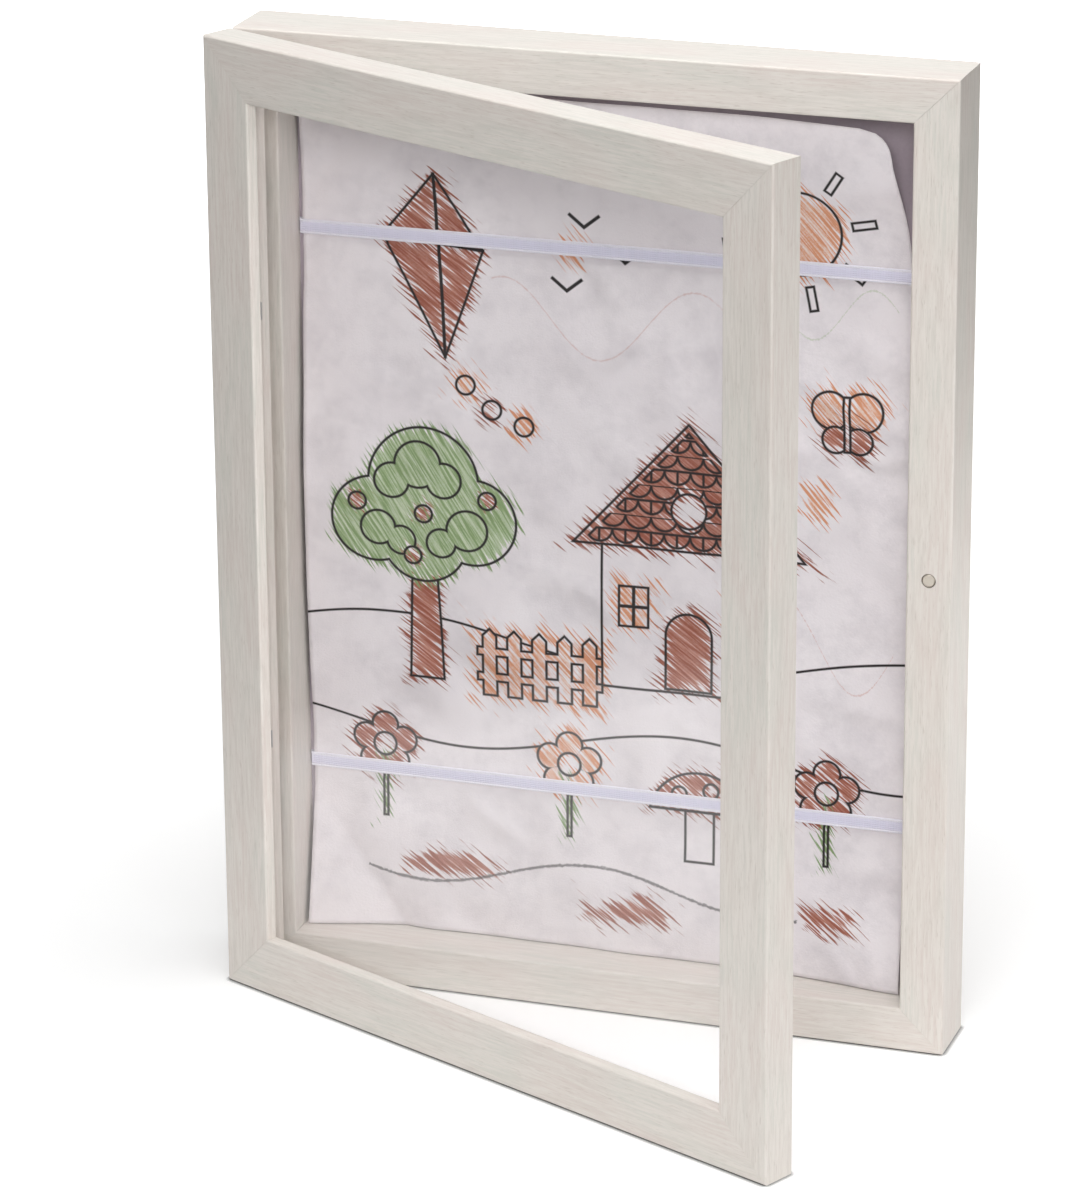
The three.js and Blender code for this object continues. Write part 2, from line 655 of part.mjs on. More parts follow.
// Turns a piece drawn along X about Y, and moves it to its place on the back of the frame.
function geometryTurned(body, turn) {
  const geometry = geometryOf(body);
  geometry.applyMatrix4(turn);
  return solid(geometry);
}

const HANGERS = {
  top: new THREE.Matrix4().setPosition(0, 0, FRAME_H - REAR_FACE / 2),
  side: new THREE.Matrix4().makeRotationY(Math.PI / 2).setPosition(RIGHT - REAR_FACE / 2, 0, MID_Z),
};

function hangerHoles(where) {
  return [-HANGER_NAIL_X, HANGER_NAIL_X]
    .map((x) => geometryTurned(nail(x, LET_IN_GAP), HANGERS[where]));
}

// A soft stop: a low rubber button stuck near a lower back corner.
function wallStop(x) {
  const outline = new THREE.Path();
  outline.moveTo(0, BOX_BACK);
  outline.lineTo(STOP_R, BOX_BACK);
  outline.lineTo(STOP_R, BOX_BACK + STOP_T - STOP_EDGE);
  outline.absarc(
    STOP_R - STOP_EDGE, BOX_BACK + STOP_T - STOP_EDGE, STOP_EDGE, 0, Math.PI / 2, false,
  );
  outline.lineTo(0, BOX_BACK + STOP_T);
  const points = outline.getPoints(4).map((point) => [point.x, point.y]);
  return turned(points, x, REAR_FACE / 2, ROUND);
}

const frame = new THREE.Group();
const box = new THREE.Group();
frame.add(box);

// The door's pieces are drawn shut, in front of the box. The group turns them about the barrel.
const doorSwing = new THREE.Group();
doorSwing.position.set(BARREL_X, BARREL_Y, 0);
doorSwing.rotation.z = -THREE.MathUtils.degToRad(DOOR_OPEN_DEG);
const door = new THREE.Group();
door.position.set(-BARREL_X, -BARREL_Y, 0);
doorSwing.add(door);
frame.add(doorSwing);

// The box: four mitred rails.
const boxSection = mouldingSection(BOX_FACE, BOX_FRONT, BOX_BACK, BOX_REBATE_W, PANEL_FRONT);
const boxCuts = {
  bottom: [],
  top: hangerHoles('top'),
  left: [...hingeSeat('top', BOX_FRONT, 1), ...hingeSeat('bottom', BOX_FRONT, 1)],
  right: [magnetPocket(BOX_FRONT, 1), ...hangerHoles('side')],
};
const BOX_NAMES = {
  bottom: 'box_bottom_rail', top: 'box_top_rail', left: 'box_left_stile', right: 'box_right_stile',
};
for (const side of Object.keys(SIDES)) {
  const cuts = [
    ...boxCuts[side], ...cornerNailSlots(side, BOX_BACK), ...tabSlots(PANEL_TABS, panelTab, side),
  ];
  add(box, BOX_NAMES[side], cut(mitredRail(boxSection, side), cuts), foil);
}
for (const corner of Object.keys(CORNERS)) {
  add(box, `box_corner_nail_${corner}`, cornerNail(corner, BOX_BACK, 0), steel);
}

// The back panel in its rebate, the tabs that hold it, the straps and their staples.
const strapEnds = Object.values(STRAP_HEIGHTS).flatMap((height) => [[height, -1], [height, 1]]);
const panelCuts = strapEnds.flatMap(([height, sign]) => [
  ...strapSeat(height, sign), ...stapleHoles(height, sign),
]);
const panel = block(
  -PANEL_W / 2, PANEL_W / 2, PANEL_FRONT, PANEL_BACK, MID_Z - PANEL_H / 2, MID_Z + PANEL_H / 2,
);
add(box, 'back_panel', cut(panel, panelCuts), board);
for (const name of Object.keys(PANEL_TABS)) add(box, name, panelTab(name, 0), steel);
for (const [where, height] of Object.entries(STRAP_HEIGHTS)) {
  const strap = prism(bandOutline(strapLine(), STRAP_T), STRAP_W, X, Y, [0, 0, height - STRAP_W / 2]);
  add(box, `elastic_strap_${where}`, strap, elastic);
  add(box, `strap_staple_${where}_left`, staple(height, -1), steel);
  add(box, `strap_staple_${where}_right`, staple(height, 1), steel);
}
add(box, 'drawing_sheet', drawingSheet(), paper);

// The closing magnets, one flush in each right stile.
add(box, 'box_magnet', magnet(BOX_FRONT, 1), nickel);
add(door, 'door_magnet', magnet(DOOR_BACK, -1), nickel);

// What hangs the frame on a wall.
for (const [where, turn] of Object.entries(HANGERS)) {
  add(box, `hanger_${where}`, hanger(turn), steel);
  add(box, `hanger_${where}_nail_a`, geometryTurned(nail(-HANGER_NAIL_X, 0), turn), steel);
  add(box, `hanger_${where}_nail_b`, geometryTurned(nail(HANGER_NAIL_X, 0), turn), steel);
}
add(box, 'wall_stop_left', wallStop(LEFT + STOP_INSET), rubber);
add(box, 'wall_stop_right', wallStop(RIGHT - STOP_INSET), rubber);

// The door: four mitred rails round the pane.
const doorSection = mouldingSection(DOOR_FACE, DOOR_FRONT, DOOR_BACK, DOOR_REBATE_W, LIP_BACK);
const doorCuts = {
  bottom: [],
  top: [],
  left: [...hingeSeat('top', DOOR_BACK, -1), ...hingeSeat('bottom', DOOR_BACK, -1)],
  right: [magnetPocket(DOOR_BACK, -1)],
};
const DOOR_NAMES = {
  bottom: 'door_bottom_rail', top: 'door_top_rail',
  left: 'door_left_stile', right: 'door_right_stile',
};
for (const side of Object.keys(SIDES)) {
  const cuts = [
    ...doorCuts[side], ...cornerNailSlots(side, DOOR_BACK), ...tabSlots(PANE_POINTS, panePoint, side),
  ];
  add(door, DOOR_NAMES[side], cut(mitredRail(doorSection, side), cuts), foil);
}
for (const corner of Object.keys(CORNERS)) {
  add(door, `door_corner_nail_${corner}`, cornerNail(corner, DOOR_BACK, 0), steel);
}
const pane = block(
  -PANE_W / 2, PANE_W / 2, PANE_FRONT, PANE_BACK, MID_Z - PANE_H / 2, MID_Z + PANE_H / 2,
);
add(door, 'clear_pane', pane, acrylic);
for (const name of Object.keys(PANE_POINTS)) add(door, name, panePoint(name, 0), steel);

// The hinges. The box's leaf has the outer knuckles and keeps the pin.
for (const hinge of Object.keys(HINGE_HEIGHTS)) {
  add(box, `hinge_${hinge}_box_leaf`, hingeLeaf(hinge, BOX_FRONT, 1, 0), steel);
  add(door, `hinge_${hinge}_door_leaf`, hingeLeaf(hinge, DOOR_BACK, -1, 1), steel);
  add(box, `hinge_${hinge}_pin`, hingePin(hinge), steel);
  for (const [level, z] of Object.entries(screwHeights(hinge))) {
    add(box, `hinge_${hinge}_box_screw_${level}`, screw(BOX_FRONT, 1, SCREW_X, z, 0), steel);
    add(door, `hinge_${hinge}_door_screw_${level}`, screw(DOOR_BACK, -1, SCREW_X, z, 0), steel);
  }
}

export default frame;
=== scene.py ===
# Children's art frame: a shallow mitred case with a glazed door in front, hinged on the left.
# The sections follow the order in which the frame is put together, from the case to the hooks.

import math

import bpy
import numpy as np
from mathutils import Matrix, Vector


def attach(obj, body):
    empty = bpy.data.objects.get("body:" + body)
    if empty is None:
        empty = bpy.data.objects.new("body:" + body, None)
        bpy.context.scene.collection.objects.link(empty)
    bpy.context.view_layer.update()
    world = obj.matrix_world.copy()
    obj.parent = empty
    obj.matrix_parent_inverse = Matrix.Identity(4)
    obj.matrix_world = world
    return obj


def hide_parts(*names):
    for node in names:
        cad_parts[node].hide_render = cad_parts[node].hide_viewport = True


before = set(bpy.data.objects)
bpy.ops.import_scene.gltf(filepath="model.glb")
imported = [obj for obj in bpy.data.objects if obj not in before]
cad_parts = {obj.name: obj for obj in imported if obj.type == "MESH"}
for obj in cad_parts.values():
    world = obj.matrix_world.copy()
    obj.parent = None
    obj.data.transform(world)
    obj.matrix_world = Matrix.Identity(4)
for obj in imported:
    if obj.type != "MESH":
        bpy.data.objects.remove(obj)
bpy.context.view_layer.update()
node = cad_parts
BOX_BODY = "display_box"
DOOR_BODY = "front_door"
MM = 0.001


# The camera stands to the right of the frame and looks down at it through a long lens.
# Its place, turn and focal length were solved from the corners of the case and the door.
PICTURE_HEIGHT = 1200
FOCAL_LENGTH_IN_PIXELS = 5476.7
CAMERA_PLACE = Vector((0.53186, -1.62966, 0.74885))
CAMERA_YAW = math.radians(18.837)
CAMERA_PITCH = math.radians(19.457)
CAMERA_ROLL = math.radians(-0.430)


def new_object(name, data):
    """An object with this data, put into the scene."""
    made = bpy.data.objects.new(name, data)
    bpy.context.scene.collection.objects.link(made)
    return made


forward = Vector((
    -math.sin(CAMERA_YAW) * math.cos(CAMERA_PITCH),
    math.cos(CAMERA_YAW) * math.cos(CAMERA_PITCH),
    -math.sin(CAMERA_PITCH),
))
level_right = Vector((math.cos(CAMERA_YAW), math.sin(CAMERA_YAW), 0))
level_up = level_right.cross(forward)
right = level_right * math.cos(CAMERA_ROLL) + level_up * math.sin(CAMERA_ROLL)
up = level_up * math.cos(CAMERA_ROLL) - level_right * math.sin(CAMERA_ROLL)
camera_data = bpy.data.cameras.new("camera")
camera_data.sensor_width = 36
camera_data.lens = camera_data.sensor_width * FOCAL_LENGTH_IN_PIXELS / PICTURE_HEIGHT
camera_data.clip_end = 20
camera = new_object("camera", camera_data)
camera.matrix_world = Matrix.Translation(CAMERA_PLACE) @ Matrix(
    (right, up, -forward)
).transposed().to_4x4()
bpy.context.scene.camera = camera
bpy.context.scene.view_settings.view_transform = "Standard"


# The studio: a white sheet under the frame, soft lamps round it, and a dim room beyond, which
# shows and mirrors white. The floor shows white too, with the frame's soft shadow and a painted
# contact shadow at its feet, but throws back light only from the sheet, so the frame is darker
# towards its top and its left.
LAMPS = {
    "overhead": {"place": (0.1, -0.2, 1.6), "aim": (0, 0, 0), "size": (1.4, 1.0), "power": 17.8},
    "front": {"place": (0.35, -1.9, 1.1), "aim": (0, 0, 0.1), "size": (0.9, 0.7), "power": 12.6},
    "side": {"place": (1.0, -1.6, 0.9), "aim": (0, 0, 0.1), "size": (0.9, 0.7), "power": 6.9},
    "right": {"place": (1.1, -0.5, 0.25), "aim": (0.1, 0, 0.1), "size": (0.5, 0.5), "power": 1},
    "card": {"place": (0.27, 0.05, 0.16), "aim": (0.122, 0, 0.16), "size": (0.1, 0.1), "power": 0.095},
    "behind": {"place": (-0.7, 1.8, 0.16), "aim": (0, 0, 0.16), "size": (1.4, 0.3), "power": 8},
}
ROOM_LIGHT = 0.155
FLOOR_SIZE = 8
GLOW_NEAR, GLOW_FAR = 0.19, 0.7
BURNS_FROM, BURNS_TO, WHITE_FROM = 0.25, 0.9, 2.0
CONTACT_SHADE_REACH, CONTACT_SHADE_SAMPLES = 0.002, 8
CONTACT_SHADE_DEPTH = 2.2
FLOOR_SEEN = "#f6f6f6"
SHEET_WHITE = "#f2f2f2"
BEYOND_SHEET = "#3c3c3c"
SHEET_GLEAM, GLEAM_TINT = 0.26, "#fff2ec"
SHEET_MIDDLE = (0.08, -0.2, 0)
SHEET_HALF_WIDTH, SHEET_HALF_DEPTH = 0.415, 0.7
SHEET_EDGE_BLUR = 0.03


def linear(code):
    """The linear colour of an sRGB hex code, with full alpha."""
    parts = [int(code[i:i + 2], 16) / 255 for i in (1, 3, 5)]
    return [c / 12.92 if c <= 0.04045 else ((c + 0.055) / 1.055) ** 2.4 for c in parts] + [1]


def add_node(tree, kind, inputs=None, **settings):
    """A new node in a tree. An input is a value, a socket, or a node for its first output."""
    made = tree.nodes.new(kind)
    for name, value in settings.items():
        setattr(made, name, value)
    for name, value in (inputs or {}).items():
        if isinstance(value, bpy.types.Node):
            value = value.outputs[0]
        if isinstance(value, bpy.types.NodeSocket):
            tree.links.new(value, made.inputs[name])
        else:
            made.inputs[name].default_value = value
    return made


def new_material(name):
    """An empty node material and its tree."""
    material = bpy.data.materials.new(name)
    material.use_nodes = True
    material.node_tree.nodes.clear()
    return material, material.node_tree


world = bpy.data.worlds.new("dim_room")
world.use_nodes = True
tree = world.node_tree
tree.nodes.clear()
looked_at = add_node(tree, "ShaderNodeLightPath")
room_lit = add_node(tree, "ShaderNodeBackground", {"Color": (1, 1, 1, 1), "Strength": ROOM_LIGHT})
room_seen = add_node(tree, "ShaderNodeBackground", {"Color": (1, 1, 1, 1), "Strength": 1})
seen_or_mirrored = add_node(tree, "ShaderNodeMath", {
    0: looked_at.outputs["Is Camera Ray"], 1: looked_at.outputs["Is Glossy Ray"],
}, operation="MAXIMUM")
white_to = add_node(tree, "ShaderNodeMath", {
    0: seen_or_mirrored, 1: looked_at.outputs["Is Transmission Ray"],
}, operation="MAXIMUM")
room = add_node(tree, "ShaderNodeMixShader", {0: white_to, 1: room_lit, 2: room_seen})
add_node(tree, "ShaderNodeOutputWorld", {"Surface": room})
bpy.context.scene.world = world

for name, lamp in LAMPS.items():
    light = bpy.data.lights.new(name, "AREA")
    light.shape = "RECTANGLE"
    light.size, light.size_y = lamp["size"]
    light.energy = lamp["power"]
    light_object = new_object(name, light)
    place, aim = Vector(lamp["place"]), Vector(lamp["aim"])
    light_object.matrix_world = (
        Matrix.Translation(place) @ (aim - place).to_track_quat("-Z", "Y").to_matrix().to_4x4()
    )
    light_object.visible_camera = False

floor_material, tree = new_material("matt_white_sheet")
ray = add_node(tree, "ShaderNodeLightPath")
# Painted contact shadow: ambient occlusion darkens the floor's colour and its glow where the frame
# stands on it.
open_above = add_node(tree, "ShaderNodeAmbientOcclusion", {
    "Distance": CONTACT_SHADE_REACH,
}, samples=CONTACT_SHADE_SAMPLES)
unshaded = add_node(tree, "ShaderNodeMath", {
    0: open_above.outputs["AO"], 1: CONTACT_SHADE_DEPTH,
}, operation="POWER")
seen_colour = add_node(tree, "ShaderNodeMix", {
    "Factor": unshaded, 6: (0, 0, 0, 1), 7: linear(FLOOR_SEEN),
}, data_type="RGBA")
floor_seen = add_node(tree, "ShaderNodeBsdfDiffuse", {"Color": seen_colour.outputs[2]})
from_middle = add_node(tree, "ShaderNodeVectorMath", {
    0: add_node(tree, "ShaderNodeTexCoord").outputs["Object"], 1: SHEET_MIDDLE,
}, operation="SUBTRACT")
how_far = add_node(tree, "ShaderNodeVectorMath", {0: from_middle}, operation="LENGTH")
burnt_out = add_node(tree, "ShaderNodeMapRange", {
    "Value": how_far.outputs["Value"], "From Min": BURNS_FROM, "From Max": BURNS_TO,
    "To Min": GLOW_NEAR, "To Max": GLOW_FAR,
}, interpolation_type="SMOOTHSTEP")
far_off = add_node(tree, "ShaderNodeMapRange", {
    "Value": how_far.outputs["Value"], "From Min": BURNS_TO, "From Max": WHITE_FROM,
}, interpolation_type="SMOOTHSTEP")
glow_there = add_node(tree, "ShaderNodeMath", {0: burnt_out, 1: far_off}, operation="ADD")
glow = add_node(tree, "ShaderNodeMath", {0: unshaded, 1: glow_there}, operation="MULTIPLY")
floor_glow = add_node(tree, "ShaderNodeEmission", {"Strength": glow})
floor_white = add_node(tree, "ShaderNodeAddShader", {0: floor_seen, 1: floor_glow})
reach = add_node(tree, "ShaderNodeVectorMath", {0: from_middle}, operation="ABSOLUTE")
inside = add_node(tree, "ShaderNodeVectorMath", {
    0: (SHEET_HALF_WIDTH, SHEET_HALF_DEPTH, 0), 1: reach,
}, operation="SUBTRACT")
inside_parts = add_node(tree, "ShaderNodeSeparateXYZ", {0: inside})
from_edge = add_node(tree, "ShaderNodeMath", {
    0: inside_parts.outputs["X"], 1: inside_parts.outputs["Y"],
}, operation="MINIMUM")
on_sheet = add_node(tree, "ShaderNodeMapRange", {
    "Value": from_edge, "From Min": -SHEET_EDGE_BLUR, "From Max": SHEET_EDGE_BLUR,
})
floor_colour = add_node(tree, "ShaderNodeMix", {
    "Factor": on_sheet, 6: linear(BEYOND_SHEET), 7: linear(SHEET_WHITE),
}, data_type="RGBA")
floor_lit = add_node(tree, "ShaderNodeBsdfDiffuse", {"Color": floor_colour.outputs[2]})
# Painted reflection: seen in mirrors, the sheet also glows a little with a warm tint, though it is no
# lamp.
mirrored_sheet = add_node(tree, "ShaderNodeMath", {
    0: on_sheet, 1: ray.outputs["Is Glossy Ray"],
}, operation="MULTIPLY")
gleam_there = add_node(tree, "ShaderNodeMath", {
    0: mirrored_sheet, 1: SHEET_GLEAM,
}, operation="MULTIPLY")
gleam = add_node(tree, "ShaderNodeEmission", {"Color": linear(GLEAM_TINT), "Strength": gleam_there})
floor_bounced = add_node(tree, "ShaderNodeAddShader", {0: floor_lit, 1: gleam})
floor_both = add_node(tree, "ShaderNodeMixShader", {
    0: ray.outputs["Is Camera Ray"], 1: floor_bounced, 2: floor_white,
})
add_node(tree, "ShaderNodeOutputMaterial", {"Surface": floor_both})
half = FLOOR_SIZE / 2
floor_mesh = bpy.data.meshes.new("floor")
floor_mesh.from_pydata(
    [(-half, -half, 0), (half, -half, 0), (half, half, 0), (-half, half, 0)], [], [(0, 1, 2, 3)]
)
floor_mesh.materials.append(floor_material)
studio_floor = new_object("floor", floor_mesh)


# The case's four rails are fibreboard moulding, wrapped in a printed foil and cut to a mitre.
# The foil is a whitewashed oak print: long pale streaks, thin darker pores, a satin face.
DOOR_REST_ANGLE = math.radians(-24.5)
FOIL_PALE = "#e6e0d9"
FOIL_MILKY = "#dad7cf"
FOIL_ROSY = "#ded4cd"
FOIL_PORE = "#c3b9af"
STREAK_WIDTH = 0.9 * MM
STREAK_LENGTH = 15 * MM
PORE_WIDTH = 0.3 * MM
PORE_LENGTH = 4 * MM
CLOUD_SIZE = 14 * MM
FOIL_RELIEF = 0.03 * MM
FOIL_CONTRAST = (0.38, 0.62)
PORES_SHOW, PORE_COVER = (0.60, 0.74), 0.55
SATIN_ROUGHNESS = (0.36, 0.5)


def along_grain(tree, direction, width, length):
    """Coordinates in which a pattern of size 1 is drawn out along a direction."""
    place = add_node(tree, "ShaderNodeTexCoord").outputs["Object"]
    run = add_node(tree, "ShaderNodeVectorMath", {0: place, 1: direction}, operation="DOT_PRODUCT")
    drawn = [c * (1 / width - 1 / length) for c in direction]
    squeeze = add_node(tree, "ShaderNodeVectorMath", {
        0: drawn, "Scale": run.outputs["Value"],
    }, operation="SCALE")
    spread = add_node(tree, "ShaderNodeVectorMath", {
        0: place, "Scale": 1 / width,
    }, operation="SCALE")
    return add_node(tree, "ShaderNodeVectorMath", {
        0: spread, 1: squeeze,
    }, operation="SUBTRACT").outputs[0]


def whitewashed_foil(name, direction):
    """Wood-print foil whose grain runs along one direction."""
    material, tree = new_material(name)
    streaks = add_node(tree, "ShaderNodeTexNoise", {
        "Vector": along_grain(tree, direction, STREAK_WIDTH, STREAK_LENGTH),
        "Scale": 1, "Detail": 4, "Roughness": 0.62, "Distortion": 0.35,
    })
    pores = add_node(tree, "ShaderNodeTexNoise", {
        "Vector": along_grain(tree, direction, PORE_WIDTH, PORE_LENGTH),
        "Scale": 1, "Detail": 2, "Roughness": 0.5,
    })
    clouds = add_node(tree, "ShaderNodeTexNoise", {
        "Vector": along_grain(tree, direction, CLOUD_SIZE, 3 * CLOUD_SIZE),
        "Scale": 1, "Detail": 1,
    })
    tone, hue = (add_node(tree, "ShaderNodeMapRange", {
        "Value": noise, "From Min": FOIL_CONTRAST[0], "From Max": FOIL_CONTRAST[1],
    }) for noise in (streaks, clouds))
    wash = add_node(tree, "ShaderNodeMix", {
        "Factor": hue, 6: linear(FOIL_MILKY), 7: linear(FOIL_ROSY),
    }, data_type="RGBA")
    ground = add_node(tree, "ShaderNodeMix", {
        "Factor": tone, 6: wash.outputs[2], 7: linear(FOIL_PALE),
    }, data_type="RGBA")
    pore = add_node(tree, "ShaderNodeMapRange", {
        "Value": pores, "From Min": PORES_SHOW[0], "From Max": PORES_SHOW[1], "To Max": PORE_COVER,
    })
    printed = add_node(tree, "ShaderNodeMix", {
        "Factor": pore, 6: ground.outputs[2], 7: linear(FOIL_PORE),
    }, data_type="RGBA")
    relief = add_node(tree, "ShaderNodeBump", {
        "Height": pore, "Strength": 0.35, "Distance": -FOIL_RELIEF,
    })
    satin = add_node(tree, "ShaderNodeMapRange", {
        "Value": streaks, "To Min": SATIN_ROUGHNESS[0], "To Max": SATIN_ROUGHNESS[1],
    })
    face = add_node(tree, "ShaderNodeBsdfPrincipled", {
        "Base Color": printed.outputs[2], "Roughness": satin,
        "Normal": relief, "IOR": 1.48,
    })
    add_node(tree, "ShaderNodeOutputMaterial", {"Surface": face})
    return material


def give_finish(names, material):
    """Puts one material on solids that already have their final shape."""
    for name in names:
        node[name].data.materials.clear()
        node[name].data.materials.append(material)


upright_foil = whitewashed_foil("whitewashed_foil_upright", (0, 0, 1))
level_foil = whitewashed_foil("whitewashed_foil_level", (1, 0, 0))
give_finish(["box_left_stile", "box_right_stile"], upright_foil)
give_finish(["box_top_rail", "box_bottom_rail"], level_foil)


# The back panel is 3 mm fibreboard. Its front is lined with lilac grey paper and its back is
# bare: brown, fibrous and dull. It drops into the rebate from behind.
LINING = "#b5a9b2"
LINING_FLECK = "#a89ba5"
BARE_BOARD = "#8d6f52"
BARE_BOARD_FIBRE = "#73583f"
LINING_DEPTH = 6.2 * MM
LINING_FLECKS_PER_METRE = 900
BOARD_FIBRES_PER_METRE = 420
BOARD_RELIEF = 0.05 * MM

board_material, tree = new_material("lined_fibreboard")
place = add_node(tree, "ShaderNodeTexCoord").outputs["Object"]
fleck = add_node(tree, "ShaderNodeTexNoise", {
    "Vector": place, "Scale": LINING_FLECKS_PER_METRE, "Detail": 3, "Roughness": 0.6,
})
fibre = add_node(tree, "ShaderNodeTexNoise", {
    "Vector": place, "Scale": BOARD_FIBRES_PER_METRE,
    "Detail": 5, "Roughness": 0.7, "Distortion": 0.6,
})
lining = add_node(tree, "ShaderNodeMix", {
    "Factor": fleck, 6: linear(LINING), 7: linear(LINING_FLECK),
}, data_type="RGBA")
bare = add_node(tree, "ShaderNodeMix", {
    "Factor": fibre, 6: linear(BARE_BOARD_FIBRE), 7: linear(BARE_BOARD),
}, data_type="RGBA")
depth = add_node(tree, "ShaderNodeSeparateXYZ", {0: place})
behind = add_node(tree, "ShaderNodeMath", {
    0: depth.outputs["Y"], 1: LINING_DEPTH,
}, operation="GREATER_THAN")
board_colour = add_node(tree, "ShaderNodeMix", {
    "Factor": behind, 6: lining.outputs[2], 7: bare.outputs[2],
}, data_type="RGBA")
board_tooth = add_node(tree, "ShaderNodeBump", {
    "Height": fibre, "Strength": 0.3, "Distance": BOARD_RELIEF,
})
board_face = add_node(tree, "ShaderNodeBsdfPrincipled", {
    "Base Color": board_colour.outputs[2], "Roughness": 0.85, "Normal": board_tooth,
})
add_node(tree, "ShaderNodeOutputMaterial", {"Surface": board_face})
give_finish(["back_panel"], board_material)


# Corner nails, panel tabs, pane points, staples and hangers are stamped from zinc-plated strip.
# Rolling leaves fine lines along the steel, drawn here as coarse as they need to show, and the
# plating is bright but slightly cloudy.
ZINC_BRIGHT = "#c9cbcb"
ZINC_CLOUDED = "#a9acad"
ROLLING_LINE, ROLLING_RELIEF = 0.25 * MM, 0.02 * MM
ROLLING_CONTRAST = (0.3, 0.7)
ZINC_CLOUDS_PER_METRE = 260
ZINC_ROUGHNESS = (0.24, 0.42)


def zinc_plated_steel(name, direction):
    """Zinc-plated strip with its rolling lines along one direction."""
    material, tree = new_material(name)
    rolled = add_node(tree, "ShaderNodeTexNoise", {
        "Vector": along_grain(tree, direction, ROLLING_LINE, 40 * ROLLING_LINE),
        "Scale": 1, "Detail": 2,
    })
    cloudy = add_node(tree, "ShaderNodeTexNoise", {
        "Vector": add_node(tree, "ShaderNodeTexCoord").outputs["Object"],
        "Scale": ZINC_CLOUDS_PER_METRE, "Detail": 3,
    })
    colour = add_node(tree, "ShaderNodeMix", {
        "Factor": cloudy, 6: linear(ZINC_BRIGHT), 7: linear(ZINC_CLOUDED),
    }, data_type="RGBA")
    gloss = add_node(tree, "ShaderNodeMapRange", {
        "Value": rolled, "From Min": ROLLING_CONTRAST[0], "From Max": ROLLING_CONTRAST[1],
        "To Min": ZINC_ROUGHNESS[0], "To Max": ZINC_ROUGHNESS[1],
    })
    relief = add_node(tree, "ShaderNodeBump", {
        "Height": rolled, "Strength": 0.15, "Distance": ROLLING_RELIEF,
    })
    face = add_node(tree, "ShaderNodeBsdfPrincipled", {
        "Base Color": colour.outputs[2], "Metallic": 1, "Roughness": gloss,
        "Normal": relief,
    })
    add_node(tree, "ShaderNodeOutputMaterial", {"Surface": face})
    return material


upright_zinc = zinc_plated_steel("zinc_plated_steel_upright", (0, 0, 1))
level_zinc = zinc_plated_steel("zinc_plated_steel_level", (1, 0, 0))
small_steel = [n for n in node if "corner_nail" in n or "panel_tab" in n or "pane_point" in n]
small_steel += [n for n in node if "staple" in n]
give_finish(small_steel, upright_zinc)
give_finish(["hanger_top"], level_zinc)
give_finish(["hanger_side"], upright_zinc)


# The drawing is one upright A4 sheet on drawing paper that has been handled: softly waved,
# folded forward at the lower left corner, curled at the lower right one and worn round at the
# top right. The straps press it flat.
SHEET_LEFT, SHEET_RIGHT = -105.6, 103.9
SHEET_BOTTOM, SHEET_TOP = 15.3, 311.8
PAGE_WIDTH, PAGE_HEIGHT = SHEET_RIGHT - SHEET_LEFT, SHEET_TOP - SHEET_BOTTOM
SHEET_MIDDLE_DEPTH = 4.95
SHEET_THICKNESS = 0.22
SHEET_COLUMNS, SOLID_SHEET_ROWS = 140, 36
ROW_PITCH, ROW_PITCH_AT_STRAPS, FINE_ROWS_REACH = 1.5, 0.4, 8
STRAP_HEIGHTS = {"top": 262, "bottom": 73}
STRAP_HOLD, STRAP_EDGE = 15, 2.5
HELD_FLAT = STRAP_EDGE + PAGE_HEIGHT / SOLID_SHEET_ROWS
PRESSED_OUT, PRESSED_OUT_REACH = 0.42, 3.2
TUCKED_IN, TUCKED_IN_REACH, TUCKED_IN_BELOW = 0.4, 1.1, 0.6
FRAME_MIDDLE_HEIGHT = 166
FLAP_WIDTH, FLAP_HEIGHT, FLAP_LIFT = 33, 48, 8.2
LEAN, LEAN_HEIGHT, CORNER_RADIUS = 5.8, 51, 11
RIPPLE, RIPPLE_LENGTH = 1.0, 150
CREASE_DEPTH, CREASE_WIDTH, CREASE_HEIGHT = 0.45, 9, 13
CREASE_SWAY_UP, CREASE_SWAY_ACROSS = (1.7, 31), (2.1, 27)
FLAP_DISH, FLAP_DISH_REACH = 1.2, 10
FOLD_DEPTH, FOLD_PITCH, FOLD_SLOPE = 2.1, 22, 0.3
FOLD_SWAY, FOLD_SWAY_LENGTH = 3, 23
FOLDS_AT, FOLDS_REACH = (92, 230), (42, 32)
LOW_CURL, LOW_CURL_REACH = 7, 30
LEFT_BELLY, LEFT_BELLY_REACH = 4.5, (44, 58)
TOP_RIGHT_CURL, TOP_RIGHT_CURL_REACH = 9, (38, 34)
TOP_EDGE_LIFT, TOP_EDGE_REACH = 1.5, 24


def bulge(distance, reach):
    """1 at a distance of 0, falling away smoothly past its reach."""
    return np.exp(-((distance / reach) ** 2))


